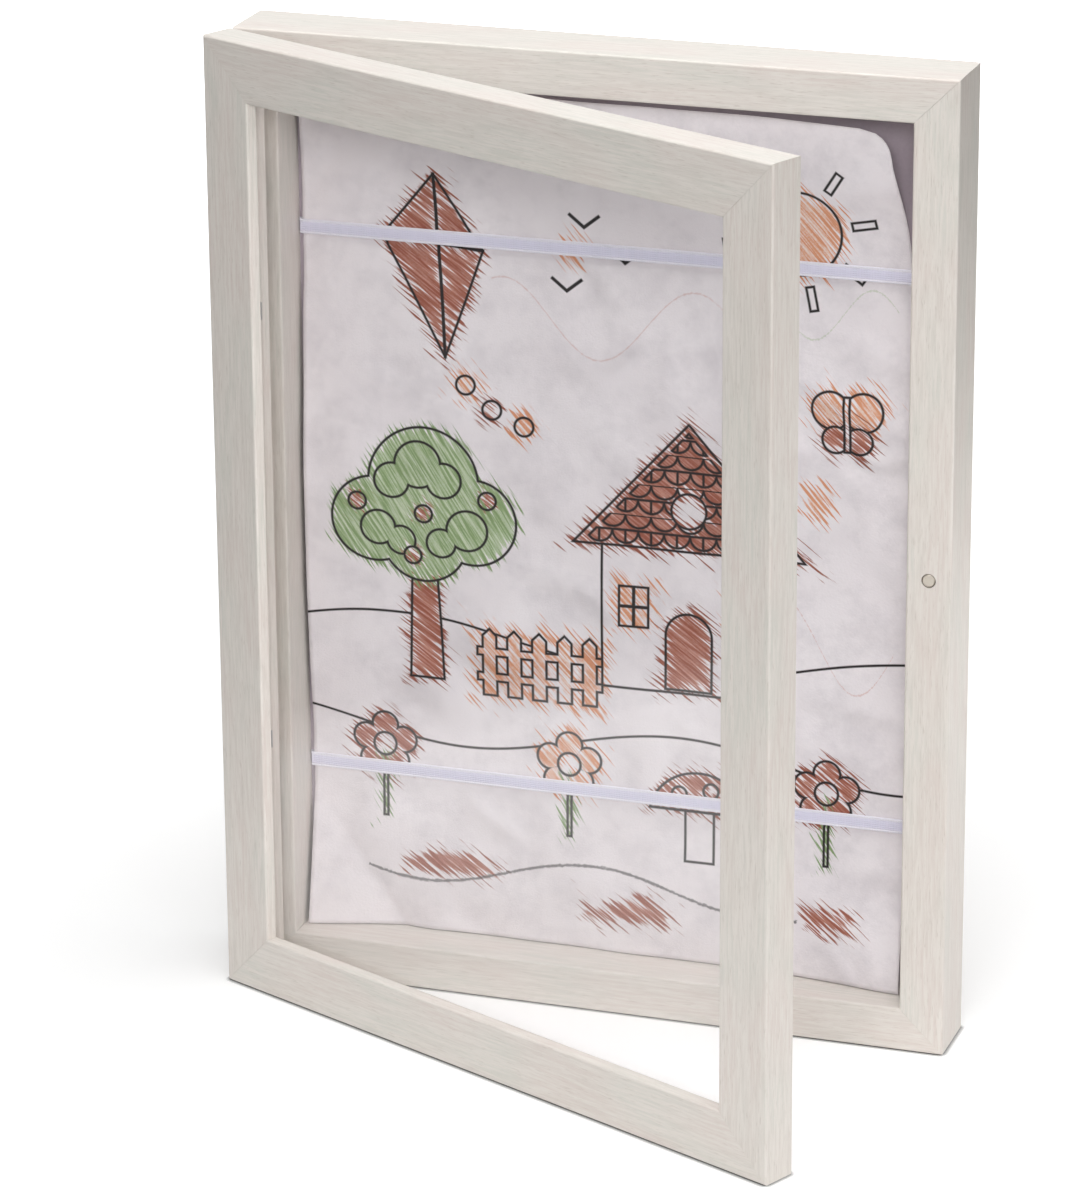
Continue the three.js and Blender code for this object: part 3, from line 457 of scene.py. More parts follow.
def paper_lift(x, z):
    """How far the sheet stands off the panel, in mm, at points of the sheet."""
    from_left, from_right = x - SHEET_LEFT, SHEET_RIGHT - x
    from_bottom, from_top = z - SHEET_BOTTOM, SHEET_TOP - z
    free = np.ones_like(x)
    at_straps = np.zeros_like(x)
    for height in STRAP_HEIGHTS.values():
        away = np.maximum(0, np.abs(z - height) - HELD_FLAT)
        free = free * (1 - bulge(away, STRAP_HOLD))
        at_straps += PRESSED_OUT * bulge(z - height - STRAP_EDGE, PRESSED_OUT_REACH)
        at_straps -= TUCKED_IN * bulge(z - height + STRAP_EDGE + TUCKED_IN_BELOW, TUCKED_IN_REACH)
    wave = np.sin((x + z / 2) * 2 * math.pi / RIPPLE_LENGTH)
    sway_up = CREASE_SWAY_UP[0] * np.sin(z / CREASE_SWAY_UP[1])
    sway_across = CREASE_SWAY_ACROSS[0] * np.sin(x / CREASE_SWAY_ACROSS[1])
    crease = np.sin(x / CREASE_WIDTH + sway_up) * np.sin(z / CREASE_HEIGHT + sway_across)
    slant = z + FOLD_SLOPE * x + FOLD_SWAY * np.sin((x - z) / FOLD_SWAY_LENGTH)
    folds = (1 - np.abs(np.sin(slant * math.pi / FOLD_PITCH))) * bulge(
        x - FOLDS_AT[0], FOLDS_REACH[0]
    ) * bulge(z - FOLDS_AT[1], FOLDS_REACH[1])
    past_fold = from_left / FLAP_WIDTH + from_bottom / FLAP_HEIGHT - 1
    fold_reach = FLAP_WIDTH * FLAP_HEIGHT / math.hypot(FLAP_WIDTH, FLAP_HEIGHT)
    past = np.maximum(0, past_fold) * fold_reach / FLAP_DISH_REACH
    return FLAP_LIFT * np.maximum(0, -past_fold) + at_straps + free * (
        RIPPLE * (1 + wave) / 2 + CREASE_DEPTH * crease + FLAP_DISH * past * np.exp(1 - past)
        + FOLD_DEPTH * folds
        + LOW_CURL * bulge(from_right, LOW_CURL_REACH) * bulge(from_bottom, LOW_CURL_REACH)
        + LEFT_BELLY * bulge(from_left, LEFT_BELLY_REACH[0])
        * bulge(z - FRAME_MIDDLE_HEIGHT, LEFT_BELLY_REACH[1])
        + TOP_RIGHT_CURL * bulge(from_right, TOP_RIGHT_CURL_REACH[0])
        * bulge(from_top, TOP_RIGHT_CURL_REACH[1])
        + TOP_EDGE_LIFT * bulge(from_top, TOP_EDGE_REACH)
    )


heights = np.append(np.arange(SHEET_BOTTOM, SHEET_TOP, ROW_PITCH), SHEET_TOP)
for height in STRAP_HEIGHTS.values():
    heights = np.append(heights[np.abs(heights - height) > FINE_ROWS_REACH], np.arange(
        height - FINE_ROWS_REACH, height + FINE_ROWS_REACH, ROW_PITCH_AT_STRAPS
    ))
heights.sort()
sheet_z, across = np.meshgrid(heights, np.linspace(0, 1, SHEET_COLUMNS + 1), indexing="ij")
leaning = np.clip((sheet_z - SHEET_TOP + LEAN_HEIGHT) / (LEAN_HEIGHT - CORNER_RADIUS), 0, 1)
rounding = np.clip((sheet_z - SHEET_TOP + CORNER_RADIUS) / CORNER_RADIUS, 0, 1)
right_edge = SHEET_RIGHT - LEAN * leaning - CORNER_RADIUS * (1 - np.sqrt(1 - rounding)) ** 2
sheet_x = SHEET_LEFT + across * (right_edge - SHEET_LEFT)
sheet_y = SHEET_MIDDLE_DEPTH - paper_lift(sheet_x, sheet_z)
points = np.stack([sheet_x, sheet_y, sheet_z], axis=-1).reshape(-1, 3) * MM
stride = SHEET_COLUMNS + 1
faces = [
    (r * stride + c, r * stride + c + 1, (r + 1) * stride + c + 1, (r + 1) * stride + c)
    for r in range(len(heights) - 1) for c in range(SHEET_COLUMNS)
]
sheet_mesh = bpy.data.meshes.new("drawing_paper")
sheet_mesh.from_pydata(points.tolist(), [], faces)
flat_place = np.stack([
    (sheet_x - SHEET_LEFT) / PAGE_WIDTH, (sheet_z - SHEET_BOTTOM) / PAGE_HEIGHT,
], axis=-1).reshape(-1, 2)
corner_vertices = np.zeros(len(sheet_mesh.loops), int)
sheet_mesh.loops.foreach_get("vertex_index", corner_vertices)
flat_map = sheet_mesh.uv_layers.new(name="flat_sheet")
flat_map.data.foreach_set("uv", flat_place[corner_vertices].ravel().astype(np.float32))
sheet_mesh.polygons.foreach_set("use_smooth", [True] * len(faces))
drawing_paper = new_object("drawing_paper", sheet_mesh)


# What is drawn on it: a printed page to colour in, with a house, a tree, a kite and flowers.
# Thin black ink on grey white paper, filled in with waxy crayon that strays over the lines.
# Places on the page are in mm from its lower left corner.
INK = "#241f20"
PAPER = "#fbf6f9"
PAPER_SHADE = "#ece5e9"
PAPER_SMUDGE = "#dbd5da"
INK_WIDTH, INK_BLUR = 0.9, 0.35
HAIRLINE = 0.3
# The tooth of real paper is finer: this is as coarse as it needs to show.
TOOTH_PER_MM = 1.5
BLOTCHES_PER_MM, SMUDGES_PER_MM, WRINKLES_PER_MM = 0.03, 0.045, 0.035
SMUDGES_SHOW = (0.45, 0.8)
WRINKLE_RELIEF, TOOTH_IN_RELIEF = 4 * MM, 0.04
STROKE_LENGTH, STROKE_WIDTH = 15, 0.8
CRAYON_EDGE = (-0.6, 1.0)
WAX_TAKES, WAX_FULL = (0.5, 0.82), 0.98
WAX_PRESSED = (0.36, 0.6)
HAND_LINE_EDGE, TOOTH_IN_HAND_LINE = (0.55, 0.95), 1.6
CRAYONS = {
    "rust": {
        "colour": "#9b5541", "light": "#c58874", "angle": -36, "stray": 26, "least": 0.84, "seed": 3,
    },
    "green": {
        "colour": "#86a06c", "light": "#c0d2aa", "angle": -58, "stray": 20, "least": 0.7, "seed": 11,
    },
    "orange": {
        "colour": "#dc9670", "light": "#f0ccb4", "angle": -48, "stray": 30, "least": 0.2, "seed": 23,
    },
}

page_material, tree = new_material("coloured_in_drawing_paper")
flat_uv = add_node(tree, "ShaderNodeUVMap", uv_map="flat_sheet")
page = add_node(tree, "ShaderNodeVectorMath", {
    0: flat_uv, 1: (PAGE_WIDTH, PAGE_HEIGHT, 0), 2: (0, 0, 1),
}, operation="MULTIPLY_ADD").outputs[0]


def nearer(first, second):
    """The distance to two shapes taken together."""
    return add_node(tree, "ShaderNodeMath", {0: first, 1: second}, operation="MINIMUM").outputs[0]


def both(first, second):
    """The distance to what two shapes share."""
    return add_node(tree, "ShaderNodeMath", {0: first, 1: second}, operation="MAXIMUM").outputs[0]


def repeated(step_x, step_y, x, y):
    """Page coordinates that begin again at every step from a point of the page."""
    return add_node(tree, "ShaderNodeVectorMath", {
        0: page, 1: (x + step_x, y + step_y, 2), 2: (x, y, 0),
    }, operation="WRAP").outputs[0]


def disc(x, y, radius, on=page):
    """The distance from a round outline on the page, less than 0 inside it."""
    far = add_node(tree, "ShaderNodeVectorMath", {0: on, 1: (x, y, 1)}, operation="DISTANCE")
    return add_node(tree, "ShaderNodeMath", {
        0: far.outputs["Value"], 1: radius,
    }, operation="SUBTRACT").outputs[0]


def discs(*places):
    """Several discs as one scalloped outline."""
    outline = disc(*places[0])
    for place in places[1:]:
        outline = nearer(outline, disc(*place))
    return outline


def straight_sided(*corners, on=page):
    """The distance from an outline with straight sides, its corners named anticlockwise."""
    outline = None
    for (x0, y0), (x1, y1) in zip(corners, corners[1:] + corners[:1]):
        reach = math.hypot(x1 - x0, y1 - y0)
        out_x, out_y = (y1 - y0) / reach, (x0 - x1) / reach
        side = add_node(tree, "ShaderNodeVectorMath", {
            0: on, 1: (out_x, out_y, -out_x * x0 - out_y * y0),
        }, operation="DOT_PRODUCT").outputs["Value"]
        outline = side if outline is None else both(outline, side)
    return outline


def upright_box(x0, x1, y0, y1):
    """The distance from an upright rectangle."""
    return straight_sided((x0, y0), (x1, y0), (x1, y1), (x0, y1))


def bar_between(x0, y0, x1, y1, width):
    """A thin bar from one point of the page to another."""
    reach = math.hypot(x1 - x0, y1 - y0)
    side_x, side_y = (y1 - y0) / reach * width / 2, (x0 - x1) / reach * width / 2
    return straight_sided(
        (x0 + side_x, y0 + side_y), (x1 + side_x, y1 + side_y),
        (x1 - side_x, y1 - side_y), (x0 - side_x, y0 - side_y),
    )


def rolling_ground(height, swell, length, start):
    """All of the page under a rolling line."""
    place = add_node(tree, "ShaderNodeSeparateXYZ", {0: page})
    turn = add_node(tree, "ShaderNodeMath", {
        0: place.outputs["X"], 1: 2 * math.pi / length, 2: start,
    }, operation="MULTIPLY_ADD")
    wave = add_node(tree, "ShaderNodeMath", {0: turn}, operation="SINE")
    line = add_node(tree, "ShaderNodeMath", {
        0: wave, 1: swell, 2: height,
    }, operation="MULTIPLY_ADD")
    return add_node(tree, "ShaderNodeMath", {
        0: place.outputs["Y"], 1: line,
    }, operation="SUBTRACT").outputs[0]


def scallops(x, y, width, drop):
    """Rows of round-bottomed tiles or leaves, every second row half a step along."""
    cell = repeated(width, 2 * drop, x, y)
    rows = [(x + width / 2, y + 2 * drop), (x, y + drop), (x + width, y + drop)]
    return nearer(nearer(*[
        both(disc(*middle, width / 2, on=cell), straight_sided(
            (x, middle[1] - drop), (x + width, middle[1] - drop),
            (x + width, middle[1]), (x, middle[1]), on=cell,
        )) for middle in rows[:2]
    ]), both(disc(*rows[2], width / 2, on=cell), straight_sided(
        (x, y), (x + width, y), (x + width, y + drop), (x, y + drop), on=cell,
    )))


def picket_fence(x0, x1, foot, height, step):
    """Pointed pickets on two rails."""
    middle, half = x0 + step / 2, step * 0.28
    picket = straight_sided(
        (middle - half, foot), (middle + half, foot), (middle + half, foot + height - half),
        (middle, foot + height), (middle - half, foot + height - half),
        on=repeated(step, 400, x0, 0),
    )
    rails = nearer(
        upright_box(x0, x1, foot + 0.22 * height, foot + 0.34 * height),
        upright_box(x0, x1, foot + 0.6 * height, foot + 0.72 * height),
    )
    return both(nearer(rails, picket), upright_box(x0, x1, foot - 1, foot + height + 1))


KITE = {"top": (46, 268), "right": (63, 243), "foot": (50, 206), "left": (28, 246)}
PICTURE = [
    (disc(171, 258, 14), "orange"),
    *[(bar_between(
        171 + 18 * math.cos(a), 258 + 18 * math.sin(a),
        171 + 26 * math.cos(a), 258 + 26 * math.sin(a), 2.6,
    ), None) for a in (i * math.pi / 4 + 0.2 for i in range(8))],
    (straight_sided(KITE["left"], KITE["foot"], KITE["right"], KITE["top"]), "rust"),
    (bar_between(*KITE["top"], *KITE["foot"], HAIRLINE), None),
    (bar_between(*KITE["left"], *KITE["right"], HAIRLINE), None),
    (disc(57, 197, 3.2), "orange"),
    (disc(66, 189, 3.2), "rust"),
    (disc(77, 184, 3.2), "orange"),
    (upright_box(150, 160, 168, 192), "rust"),
    *[(bar_between(x, y, x + 5 * way, y + 4, HAIRLINE), None)
      for x, y in ((92, 232), (112, 243), (98, 254)) for way in (-1, 1)],
    *[(disc(188 + x, 196 + y, radius), crayon) for x, y, radius, crayon in (
        (-5.5, 4, 6.5, "orange"), (5.5, 4, 6.5, "orange"), (-4, -6, 4.5, "rust"), (4, -6, 4.5, "rust"),
    )],
    (bar_between(188, 186, 188, 205, 2), None),
    (rolling_ground(108, 7, 190, 0.6), None),
    (picket_fence(60, 104, 88, 24, 8.8), "orange"),
    (upright_box(104, 164, 96, 146), None),
    (straight_sided((94, 146), (174, 146), (134, 190)), "rust"),
    (both(scallops(94, 146, 9, 5.5), straight_sided((98, 147), (170, 147), (134, 187))), "rust"),
    (both(nearer(upright_box(126, 142, 90, 116), disc(134, 116, 8)),
          upright_box(126, 142, 97, 130)), "rust"),
    (upright_box(110, 120, 118, 132), "orange"),
    (upright_box(148, 158, 118, 132), "orange"),
    (bar_between(115, 118, 115, 132, HAIRLINE), None),
    (bar_between(110, 125, 120, 125, HAIRLINE), None),
    (disc(134, 160, 6), None),
    (straight_sided((36, 92), (48, 92), (46, 138), (38, 138)), "rust"),
    (discs((42, 162, 19), (25, 148, 15), (59, 149, 15), (42, 142, 15)), "green"),
    (discs((40, 168, 8), (31, 162, 6), (49, 163, 6)), "green"),
    (discs((26, 145, 6), (34, 141, 5)), "green"),
    (discs((57, 146, 7), (48, 141, 5)), "green"),
    *[(disc(x, y, 3), "rust") for x, y in ((19, 154), (42, 151), (64, 157), (38, 136))],
    (rolling_ground(74, 6, 150, 2.4), None),
    *[(bar_between(x, 40, x, 62, 1.4), "green") for x in (26, 92, 182)],
    *[(discs(*[
        (x + 7 * math.cos(a), 66 + 7 * math.sin(a), 4.6)
        for a in (i * math.pi * 0.4 + 0.3 for i in range(5))
    ]), colour) for x, colour in ((26, "rust"), (92, "orange"), (182, "rust"))],
    *[(disc(x, 66, 4), None) for x in (26, 92, 182)],
    (upright_box(133, 143, 36, 56), None),
    (both(disc(138, 50, 18), straight_sided((110, 54), (166, 54), (166, 80), (110, 80))), "rust"),
    (disc(131, 60, 2.6), None),
    (disc(142, 62, 2.6), None),
    (disc(149, 57, 2), None),
]

# What was added by hand, without a printed line: crayon scrawls and single wandering lines.
SCRAWLS = [
    (both(upright_box(34, 66, 22, 29), rolling_ground(27, 3, 40, 0)), "rust"),
    (both(upright_box(98, 128, 12, 20), rolling_ground(18, 3, 30, 2)), "rust"),
    (upright_box(176, 192, 18, 24), "rust"),
    (disc(93, 246, 3), "orange"),
    (disc(178, 168, 4), "orange"),
]
HAND_LINES = [
    {"along": rolling_ground(24, 6, 120, 2.6), "from": 20, "to": 172, "width": 1.1,
     "wax": INK, "cover": 0.75},
    {"along": rolling_ground(222, 13, 66, 1.2), "from": 66, "to": 150, "width": 0.5,
     "wax": "#c77f6c", "cover": 0.35},
    {"along": rolling_ground(118, 16, 52, 0.4), "from": 158, "to": 204, "width": 0.5,
     "wax": "#c77f6c", "cover": 0.35},
    {"along": rolling_ground(232, 9, 40, 2.2), "from": 170, "to": 204, "width": 0.6,
     "wax": "#a9bd92", "cover": 0.4},
    {"along": rolling_ground(288, 5, 70, 0.2), "from": 14, "to": 128, "width": 0.5,
     "wax": "#d98f6c", "cover": 0.3},
]

ink = 0.0
coloured = {}
for distance, crayon in PICTURE:
    outside = add_node(tree, "ShaderNodeMath", {0: distance, 1: 0.0}, operation="GREATER_THAN")
    width = add_node(tree, "ShaderNodeMath", {0: distance}, operation="ABSOLUTE")
    line = add_node(tree, "ShaderNodeMapRange", {
        "Value": width, "From Min": (INK_WIDTH - INK_BLUR) / 2,
        "From Max": (INK_WIDTH + INK_BLUR) / 2, "To Min": 1, "To Max": 0,
    })
    under = add_node(tree, "ShaderNodeMath", {0: ink, 1: outside}, operation="MULTIPLY")
    ink = add_node(tree, "ShaderNodeMath", {0: under, 1: line}, operation="MAXIMUM").outputs[0]
    for name in list(coloured):
        if name != crayon:
            apart = add_node(tree, "ShaderNodeMath", {0: distance, 1: -1}, operation="MULTIPLY")
            coloured[name] = both(coloured[name], apart.outputs[0])
    if crayon:
        coloured[crayon] = (
            nearer(coloured[crayon], distance) if crayon in coloured else distance
        )

for scrawl, crayon in SCRAWLS:
    coloured[crayon] = nearer(coloured[crayon], scrawl)

tooth = add_node(tree, "ShaderNodeTexNoise", {
    "Vector": page, "Scale": TOOTH_PER_MM, "Detail": 2, "Roughness": 0.6,
})
blotches = add_node(tree, "ShaderNodeTexNoise", {
    "Vector": page, "Scale": BLOTCHES_PER_MM, "Detail": 3, "Roughness": 0.55,
})
clean_paper = add_node(tree, "ShaderNodeMix", {
    "Factor": blotches, 6: linear(PAPER), 7: linear(PAPER_SHADE),
}, data_type="RGBA").outputs[2]
handled = add_node(tree, "ShaderNodeTexNoise", {
    "Vector": page, "Scale": SMUDGES_PER_MM, "Detail": 7, "Roughness": 0.72,
})
smudged = add_node(tree, "ShaderNodeMapRange", {
    "Value": handled, "From Min": SMUDGES_SHOW[0], "From Max": SMUDGES_SHOW[1],
})
paper_colour = add_node(tree, "ShaderNodeMix", {
    "Factor": smudged, 6: clean_paper, 7: linear(PAPER_SMUDGE),
}, data_type="RGBA").outputs[2]
for name, region in coloured.items():
    crayon = CRAYONS[name]
    strokes = add_node(tree, "ShaderNodeMapping", {
        "Vector": page, "Rotation": (0, 0, math.radians(crayon["angle"])),
        "Scale": (STROKE_LENGTH, STROKE_WIDTH, 1), "Location": (crayon["seed"], crayon["seed"] * 2, 0),
    }, vector_type="TEXTURE")
    stroke = add_node(tree, "ShaderNodeTexNoise", {
        "Vector": strokes, "Scale": 1, "Detail": 2, "Roughness": 0.5,
        "Distortion": 0.3,
    })
    strayed = add_node(tree, "ShaderNodeMath", {
        0: stroke, 1: -crayon["stray"], 2: crayon["stray"] * 0.5,
    }, operation="MULTIPLY_ADD")
    edge = add_node(tree, "ShaderNodeMath", {0: region, 1: strayed}, operation="ADD")
    inside = add_node(tree, "ShaderNodeMapRange", {
        "Value": edge, "From Min": CRAYON_EDGE[0], "From Max": CRAYON_EDGE[1],
        "To Min": 1, "To Max": 0,
    })
    wax = add_node(tree, "ShaderNodeMath", {0: tooth, 1: 0.5, 2: stroke}, operation="MULTIPLY_ADD")
    taken = add_node(tree, "ShaderNodeMapRange", {
        "Value": wax, "From Min": WAX_TAKES[0], "From Max": WAX_TAKES[1],
        "To Min": crayon["least"], "To Max": WAX_FULL,
    })
    cover = add_node(tree, "ShaderNodeMath", {0: inside, 1: taken}, operation="MULTIPLY")
    pressure = add_node(tree, "ShaderNodeMapRange", {
        "Value": stroke, "From Min": WAX_PRESSED[0], "From Max": WAX_PRESSED[1],
    })
    wax_colour = add_node(tree, "ShaderNodeMix", {
        "Factor": pressure, 6: linear(crayon["light"]), 7: linear(crayon["colour"]),
    }, data_type="RGBA")
    paper_colour = add_node(tree, "ShaderNodeMix", {
        "Factor": cover, 6: paper_colour, 7: wax_colour.outputs[2],
    }, data_type="RGBA").outputs[2]

for line in HAND_LINES:
    off = add_node(tree, "ShaderNodeMath", {0: line["along"]}, operation="ABSOLUTE")
    trace = both(off.outputs[0], upright_box(line["from"], line["to"], 0, PAGE_HEIGHT))
    rubbed = add_node(tree, "ShaderNodeMath", {
        0: tooth, 1: TOOTH_IN_HAND_LINE, 2: trace,
    }, operation="MULTIPLY_ADD")
    drawn = add_node(tree, "ShaderNodeMapRange", {
        "Value": rubbed, "From Min": HAND_LINE_EDGE[0] + line["width"] / 2,
        "From Max": HAND_LINE_EDGE[1] + line["width"] / 2, "To Min": line["cover"], "To Max": 0,
    })
    paper_colour = add_node(tree, "ShaderNodeMix", {
        "Factor": drawn, 6: paper_colour, 7: linear(line["wax"]),
    }, data_type="RGBA").outputs[2]

inked = add_node(tree, "ShaderNodeMix", {
    "Factor": ink, 6: paper_colour, 7: linear(INK),
}, data_type="RGBA")
wrinkle = add_node(tree, "ShaderNodeTexNoise", {
    "Vector": page, "Scale": WRINKLES_PER_MM, "Detail": 4, "Roughness": 0.5, "Distortion": 0.6,
}, noise_type="RIDGED_MULTIFRACTAL")
worn = add_node(tree, "ShaderNodeMath", {
    0: tooth, 1: TOOTH_IN_RELIEF, 2: wrinkle,
}, operation="MULTIPLY_ADD")
paper_relief = add_node(tree, "ShaderNodeBump", {
    "Height": worn, "Strength": 1, "Distance": WRINKLE_RELIEF,
})
paper_face = add_node(tree, "ShaderNodeBsdfPrincipled", {
    "Base Color": inked.outputs[2], "Roughness": 0.85, "Normal": paper_relief,
})
add_node(tree, "ShaderNodeOutputMaterial", {"Surface": paper_face})

plain_material, tree = new_material("plain_drawing_paper")
plain_face = add_node(tree, "ShaderNodeBsdfPrincipled", {
    "Base Color": linear(PAPER), "Roughness": 0.85,
})
add_node(tree, "ShaderNodeOutputMaterial", {"Surface": plain_face})
sheet_mesh.materials.append(page_material)
sheet_mesh.materials.append(plain_material)
thickness = drawing_paper.modifiers.new("thickness", "SOLIDIFY")
thickness.thickness = SHEET_THICKNESS * MM
thickness.offset = 0
thickness.material_offset = 1
thickness.material_offset_rim = 1
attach(drawing_paper, BOX_BODY)
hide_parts("drawing_sheet")


# Two elastic straps hold the sheet. Each is knitted over rubber cords, with a thicker cord at
# both edges, and runs from a staple behind the panel round its edge and across the paper.
STRAP_WIDTH = 5
EDGE_CORD_RADIUS = 0.42
INNER_CORD_RADIUS = 0.3
INNER_CORDS, INNER_CORDS_REACH = 5, 0.62
STRAP_CORE = 0.4
ELASTIC_EDGE = "#f1effa"
ELASTIC_FACE = "#e5e3f5"
EDGING_FROM, EDGING_TO = 1.35, 1.75
WEFT_PITCH, WEFT_RELIEF = 0.9, 0.05 * MM
STRAP_HALF_ROUTE = [
    (98.9, 9.1), (110.9, 9.1), (110.9, 6.1), (106.3, 6.1), (106.3, 4.0),
]
BEND_RADIUS = 0.55


def shape_tree(name, inputs):
    """An empty Geometry Nodes tree, and the sockets that give its named inputs."""
    tree = bpy.data.node_groups.new(name, "GeometryNodeTree")
    tree.interface.new_socket("Geometry", in_out="OUTPUT", socket_type="NodeSocketGeometry")
    for label, kind in {"Geometry": "Geometry", **inputs, "Material": "Material"}.items():
        tree.interface.new_socket(label, in_out="INPUT", socket_type="NodeSocket" + kind)
    return tree, tree.nodes.new("NodeGroupInput").outputs


def end_tree(tree, shape, material):
    """The end of a tree: its instances made real and given their material."""
    realized = add_node(tree, "GeometryNodeRealizeInstances", {"Geometry": shape})
    dressed = add_node(tree, "GeometryNodeSetMaterial", {"Geometry": realized, "Material": material})
    add_node(tree, "NodeGroupOutput", {0: dressed})


elastic_tree, given = shape_tree("knitted_elastic", {
    "Strap width": "Float", "Edge cord radius": "Float", "Inner cord radius": "Float",
    "Inner cords": "Int", "Core thickness": "Float", "Bend radius": "Float",
})
rounded = add_node(elastic_tree, "GeometryNodeFilletCurve", {
    "Curve": given["Geometry"], "Radius": given["Bend radius"], "Count": 5,
    "Limit Radius": True,
}, mode="POLY")
half_width = add_node(elastic_tree, "ShaderNodeMath", {
    0: given["Strap width"], 1: 0.5,
}, operation="MULTIPLY")
edge_at = add_node(elastic_tree, "ShaderNodeMath", {
    0: half_width, 1: given["Edge cord radius"],
}, operation="SUBTRACT")
core_height = add_node(elastic_tree, "ShaderNodeMath", {0: edge_at, 1: 2.0}, operation="MULTIPLY")
core = add_node(elastic_tree, "GeometryNodeCurvePrimitiveQuadrilateral", {
    "Width": given["Core thickness"], "Height": core_height,
})
section = add_node(elastic_tree, "GeometryNodeJoinGeometry", {0: core})
for count, reach, sides, radius in (
    (given["Inner cords"], INNER_CORDS_REACH, 8, given["Inner cord radius"]),
    (2, 1, 10, given["Edge cord radius"]),
):
    high = add_node(elastic_tree, "ShaderNodeMath", {0: edge_at, 1: reach}, operation="MULTIPLY")
    low = add_node(elastic_tree, "ShaderNodeMath", {0: high, 1: -1.0}, operation="MULTIPLY")
    row = add_node(elastic_tree, "GeometryNodeMeshLine", {
        "Count": count, "Start Location": add_node(elastic_tree, "ShaderNodeCombineXYZ", {"Y": low}),
        "Offset": add_node(elastic_tree, "ShaderNodeCombineXYZ", {"Y": high}),
    }, mode="END_POINTS")
    ring = add_node(elastic_tree, "GeometryNodeCurvePrimitiveCircle", {
        "Resolution": sides, "Radius": radius,
    })
    rings = add_node(elastic_tree, "GeometryNodeInstanceOnPoints", {"Points": row, "Instance": ring})
    elastic_tree.links.new(rings.outputs[0], section.inputs[0])
whole_section = add_node(elastic_tree, "GeometryNodeRealizeInstances", {"Geometry": section})
swept = add_node(elastic_tree, "GeometryNodeCurveToMesh", {
    "Curve": rounded, "Profile Curve": whole_section, "Fill Caps": True,
})
smooth = add_node(elastic_tree, "GeometryNodeSetShadeSmooth", {
    "Geometry": swept, "Shade Smooth": True,
})
end_tree(elastic_tree, smooth, given["Material"])


def knitted_elastic(name, middle_height):
    """Knitted elastic whose edges are paler than its face."""
    material, tree = new_material(name)
    place = add_node(tree, "ShaderNodeTexCoord").outputs["Object"]
    parts = add_node(tree, "ShaderNodeSeparateXYZ", {0: place})
    across = add_node(tree, "ShaderNodeMath", {
        0: parts.outputs["Z"], 1: middle_height * MM,
    }, operation="SUBTRACT")
    out = add_node(tree, "ShaderNodeMath", {0: across}, operation="ABSOLUTE")
    edging = add_node(tree, "ShaderNodeMapRange", {
        "Value": out, "From Min": EDGING_FROM * MM, "From Max": EDGING_TO * MM,
    })
    colour = add_node(tree, "ShaderNodeMix", {
        "Factor": edging, 6: linear(ELASTIC_FACE), 7: linear(ELASTIC_EDGE),
    }, data_type="RGBA")
    weft = add_node(tree, "ShaderNodeMath", {
        0: parts.outputs["X"], 1: 2 * math.pi / (WEFT_PITCH * MM),
    }, operation="MULTIPLY")
    weft_wave = add_node(tree, "ShaderNodeMath", {0: weft}, operation="SINE")
    relief = add_node(tree, "ShaderNodeBump", {
        "Height": weft_wave, "Strength": 0.4, "Distance": WEFT_RELIEF,
    })
    face = add_node(tree, "ShaderNodeBsdfPrincipled", {
        "Base Color": colour.outputs[2], "Roughness": 0.75, "Sheen Weight": 0.3,
        "Normal": relief,
    })
    add_node(tree, "ShaderNodeOutputMaterial", {"Surface": face})
    return material


def grown(name, data, shape, values):
    """A plain mesh object of what a tree makes from some data, its inputs set by identifier."""
    source = new_object(data.name, data)
    growing = source.modifiers.new("growing", "NODES")
    growing.node_group = shape
    for item in shape.interface.items_tree:
        if item.in_out == "INPUT" and item.name in values:
            growing[item.identifier] = values[item.name]
    bpy.context.view_layer.update()
    evaluated = source.evaluated_get(bpy.context.evaluated_depsgraph_get())
    mesh = bpy.data.meshes.new_from_object(evaluated)
    mesh.name = name
    bpy.data.objects.remove(source)
    return new_object(name, mesh)


for where, height in STRAP_HEIGHTS.items():
    route = STRAP_HALF_ROUTE + [(-x, y) for x, y in reversed(STRAP_HALF_ROUTE)]
    curve = bpy.data.curves.new("strap_route", "CURVE")
    curve.dimensions = "3D"
    curve.twist_mode = "Z_UP"
    spline = curve.splines.new("POLY")
    spline.points.add(len(route) - 1)
    for point, (x, y) in zip(spline.points, route):
        point.co = (x * MM, y * MM, height * MM, 1)
    strap = grown(f"elastic_{where}", curve, elastic_tree, {
        "Strap width": STRAP_WIDTH * MM, "Edge cord radius": EDGE_CORD_RADIUS * MM,
        "Inner cord radius": INNER_CORD_RADIUS * MM, "Inner cords": INNER_CORDS,
        "Core thickness": STRAP_CORE * MM, "Bend radius": BEND_RADIUS * MM,
        "Material": knitted_elastic(f"knitted_elastic_{where}", height),
    })
    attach(strap, BOX_BODY)
    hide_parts(f"elastic_strap_{where}")


# A nickel-plated button magnet is pressed into each right stile, flush with the face, and the
# two meet when the door shuts. The plating is warm grey and shows the turning in faint rings,
# and its colour darkens towards the rim in painted shade.
NICKEL = "#dad4c9"
NICKEL_RIM_SHADE = "#b2aa9e"
TURNING_RING, TURNING_RELIEF = 0.3 * MM, 0.01 * MM
RIM_SHADE_FROM, RIM_SHADE_TO = 1.6 * MM, 2.1 * MM
MAGNET_PLACE = Vector((114.5, 0, 166)) * MM
CASE_FRONT, DOOR_BACK = -12.5, -13
DOOR_HINGE_AXIS = Vector((-124.2, -12.75, 0)) * MM
door_turn = (
    Matrix.Translation(DOOR_HINGE_AXIS)
    @ Matrix.Rotation(DOOR_REST_ANGLE, 4, "Z")
    @ Matrix.Translation(-DOOR_HINGE_AXIS)
)


